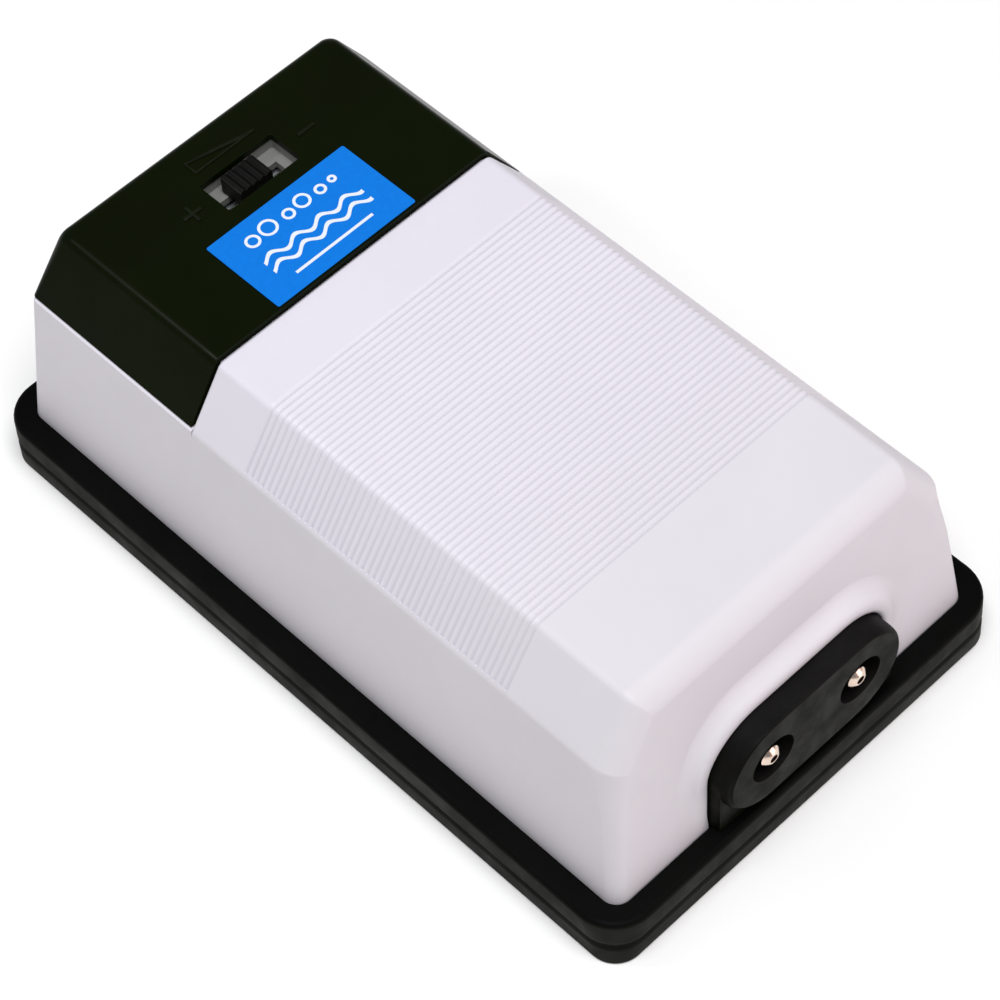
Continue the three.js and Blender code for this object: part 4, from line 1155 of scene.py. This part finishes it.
def nipple(name, side):
    """Hollow barbed nipple: a coned tip, two rounded barbs, a flange on the recess floor and a tail."""
    bore = 0.9
    neck = 1.95
    flange = 3.4
    tail, tail_end = 1.9, NIPPLE_HIGH.y
    tip = NIPPLE_LOW.y
    back = RECESS_FLOOR - GAP
    profile = [
        (tip + 1.2, bore - 0.1), (tip + 0.3, bore - 0.1), (tip + 0.05, bore - 0.05), (tip, bore + 0.05),
        (tip + 0.03, bore + 0.2), (tip + 0.1, bore + 0.35), (tip + 0.8, 2.05), (tip + 0.92, 2.14),
        (tip + 1.05, 2.1), (tip + 1.15, 1.95), (tip + 1.4, 1.6), (tip + 1.6, 1.55), (tip + 1.75, 1.65),
        (-77.1, 2.5), (-76.95, 2.65), (-76.8, 2.58), (-76.6, neck + 0.1), (-76.5, neck),
        (-75.7, neck), (-75.5, 2.02), (-74.3, 2.55), (-74.15, 2.6), (-74.0, 2.52), (-73.9, neck + 0.1),
        (-73.8, neck), (back - 1.4, neck), (back - 1.35, neck + 0.1), (back - 1.3, neck + 0.25),
        (back - 1.3, flange - 0.2), (back - 1.1, flange), (back, flange), (back, 2.1),
        (-66, 2.1), (-65.8, tail), (tail_end - 0.3, tail), (tail_end, 1.6), (tail_end, bore - 0.1),
    ]
    return smooth(turned(name, "y", profile, (side * OUTLET_X, OUTLET_Z)), 50)


def paint_bore_shade(obj, side):
    """Gives the faces of the drilled bore their own dark brown metal: painted shade inside the bore."""
    bore_edge = 0.86
    surface = Surface("painted_bore_shade", metallic=0.4, specular=0.1)
    # Painted shade: dark brown for the inside of the bore.
    brown = surface.mottled(linear(38, 24, 18), 0.3, 900)
    rings = surface.wave("Y", 0.3, 0.3)
    obj.data.materials.append(surface.finish(brown, rough=(0.6, 0.8, 700), relief=(rings, 0.01, 0.6)))
    for face in obj.data.polygons:
        x, _, z = face.center / MM
        if math.hypot(x - side * OUTLET_X, z - OUTLET_Z) < bore_edge:
            face.material_index = 1


for side_name, side in SIDES:
    piece = nipple(f"nipple_{side_name}", side)
    finish_piece(piece, "nickel", "case", f"outlet_nipple_{side_name}")
    paint_bore_shade(piece, side)


def grommet():
    """The bush in the rear wall: a domed flange outside, a neck through the wall and a flange inside."""
    low, high = GROMMET_LOW.y, GROMMET_HIGH.y
    bore = CORD_HOLE_RADIUS
    profile = [
        (high - 0.3, bore), (high - 0.1, bore + 0.1), (high, bore + 0.35), (high, 5.7), (high - 0.1, 6.05),
        (high - 0.35, 6.35), (high - 0.75, 6.5), (high - 1.6, 6.5), (high - 1.6, 5.0),
        (70.9, 5.0), (70.9, 6.2), (69.7, 6.2), (low, 5.9), (low, bore + 0.3), (low + 0.3, bore),
    ]
    return smooth(turned("grommet", "y", profile, (0, CORD_Z)), 50)


finish_piece(grommet(), "black_rubber", "case", "cord_grommet")

# ---------------------------------------------------------------- diaphragms


def diaphragm_cup(name, side, low, high):
    """Rubber cup: a beaded rim on the valve box, a wall with two folds, and a hub clamped to the arm."""
    tip, rim = sorted((abs(low.x), abs(high.x)))
    radius = (high.z - low.z) / 2
    bore = 1.5
    profile = [
        (rim, radius - 0.25), (rim - 0.1, radius - 0.08), (rim - 0.3, radius), (rim - 1.6, radius),
        (rim - 1.82, radius - 0.1), (rim - 1.95, radius - 0.35), (rim - 2.1, radius - 1.4),
        (rim - 2.5, 10.85), (rim - 3.4, 10.75), (rim - 4.2, 10.6), (tip + 2.9, 10.3), (tip + 2.3, 9.9),
        (tip + 2.0, 9.3), (tip + 1.9, 8.6), (tip + 1.6, 7.9), (tip + 1.15, 7.4), (tip + 0.95, 6.8),
        (tip + 0.9, 6.1), (tip + 0.6, 5.3), (tip + 0.2, 4.8), (tip + 0.05, 4.5), (tip, 4.2),
        (tip, bore + 0.2), (tip + 0.06, bore + 0.06), (tip + 0.2, bore), (tip + 2.3, bore),
        (tip + 2.44, bore + 0.06), (tip + 2.5, bore + 0.2), (tip + 2.5, 4.2), (tip + 2.6, 4.8),
        (tip + 2.8, 5.7), (tip + 3.0, 6.8), (tip + 3.3, 7.8), (tip + 3.9, 8.7), (tip + 4.8, 9.3),
        (rim - 1.6, 9.6), (rim - 0.2, 9.6), (rim, 9.8),
    ]
    centre = ((low.y + high.y) / 2, (low.z + high.z) / 2)
    return smooth(turned(name, "x", [(side * x, r) for x, r in profile], centre), 50)


for side_name, side in SIDES:
    low, high = box_mm(f"diaphragm_{side_name}")
    piece = diaphragm_cup(f"rubber_cup_{side_name}", side, low, high)
    finish_piece(piece, "black_rubber", None, f"diaphragm_{side_name}")
    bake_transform(piece)

# ---------------------------------------------------------------- carried-over CAD nodes

CAD_SLOTS = {row["node"]: row["material_slot"] for row in frame["record"]["subparts"]}


def smooth_tree():
    """A modifier's nodes that shade every face and edge smooth."""
    tree = bpy.data.node_groups.new("smooth_shading", "GeometryNodeTree")
    for direction in ("INPUT", "OUTPUT"):
        tree.interface.new_socket("Geometry", in_out=direction, socket_type="NodeSocketGeometry")
    geometry = tree.nodes.new("NodeGroupInput").outputs["Geometry"]
    for domain in ("FACE", "EDGE"):
        node = tree.nodes.new("GeometryNodeSetShadeSmooth")
        node.domain = domain
        tree.links.new(geometry, node.inputs["Geometry"])
        geometry = node.outputs["Geometry"]
    tree.links.new(geometry, tree.nodes.new("NodeGroupOutput").inputs["Geometry"])
    return tree


SMOOTH_TREE = smooth_tree()


def dress_node(obj, slot):
    """A CAD node keeps its mesh. Its slots get a procedural material, and modifiers soften its edges."""
    for holder in obj.material_slots:
        holder.material = MATERIALS[slot]
    obj.modifiers.new("smooth_shading", "NODES").node_group = SMOOTH_TREE
    weld = obj.modifiers.new("weld", "WELD")
    weld.merge_threshold = 1e-6
    bevel = obj.modifiers.new("soft_edges", "BEVEL")
    bevel.width = 0.15 * MM
    bevel.segments = 2
    bevel.limit_method = "ANGLE"
    bevel.angle_limit = math.radians(40)
    normals = obj.modifiers.new("normals", "WEIGHTED_NORMAL")
    normals.keep_sharp = True


for node_name, node in frame["nodes"].items():
    if not node.hide_render:
        dress_node(node, CAD_SLOTS[node_name])

# ---------------------------------------------------------------- floor, light, camera


def floor():
    """A slab whose top is a hair below the boot."""
    half, corner = 2500, 50
    ground = loft("floor", [level_ring(half, -half, half, corner, z, 3) for z in (-20, -0.02)])
    surface = Surface("floor_paint")
    pale = surface.mottled((0.97, 0.97, 0.97), 0.004, 3)
    grain = surface.noise(400, 2)
    ground.data.materials.append(surface.finish(pale, rough=(0.6, 0.7, 20), relief=(grain, 0.02, 0.2)))


def soft_light(name, place, size, power, colour=(1, 1, 1)):
    """A square softbox that faces the middle of the pump."""
    target = (0, 0, 25)
    data = bpy.data.lights.new(name, "AREA")
    data.size = size * MM
    data.energy = power
    data.color = colour
    obj = add_object(name, data)
    obj.location = Vector(place) * MM
    aim = (Vector(target) - Vector(place)).to_track_quat("-Z", "Y")
    obj.rotation_euler = aim.to_euler()


def studio():
    world = bpy.data.worlds.new("studio")
    world.use_nodes = True
    background = world.node_tree.nodes["Background"]
    background.inputs["Color"].default_value = (0.96, 0.97, 1.0, 1.0)
    background.inputs["Strength"].default_value = 0.26
    bpy.context.scene.world = world
    soft_light("key", (-160, -260, 1140), size=600, power=11.6)
    soft_light("warm", (360, -740, 200), size=420, power=1.55, colour=(1.0, 0.8, 0.76))
    soft_light("ridge", (-276, 264, 456), size=90, power=0.5)
    bpy.context.scene.view_settings.view_transform = "Standard"


def camera():
    """Looks down from the front left, turned a little about its own axis."""
    azimuth, elevation, roll = (math.radians(v) for v in (41.131, 54.466, -4.274))
    target = Vector((-5.911, -10.611, 28.0))
    distance = 595.894
    forward = Vector((
        math.sin(azimuth) * math.cos(elevation),
        math.cos(azimuth) * math.cos(elevation),
        -math.sin(elevation),
    ))
    level = Vector((math.cos(azimuth), -math.sin(azimuth), 0))
    upright = level.cross(forward)
    right = level * math.cos(roll) + upright * math.sin(roll)
    up = right.cross(forward)
    data = bpy.data.cameras.new("camera")
    data.sensor_width = 36
    data.lens = 123.99
    obj = add_object("camera", data)
    pose = Matrix((right, up, -forward)).transposed().to_4x4()
    pose.translation = (target - forward * distance) * MM
    obj.matrix_world = pose
    bpy.context.scene.camera = obj


floor()
studio()
camera()
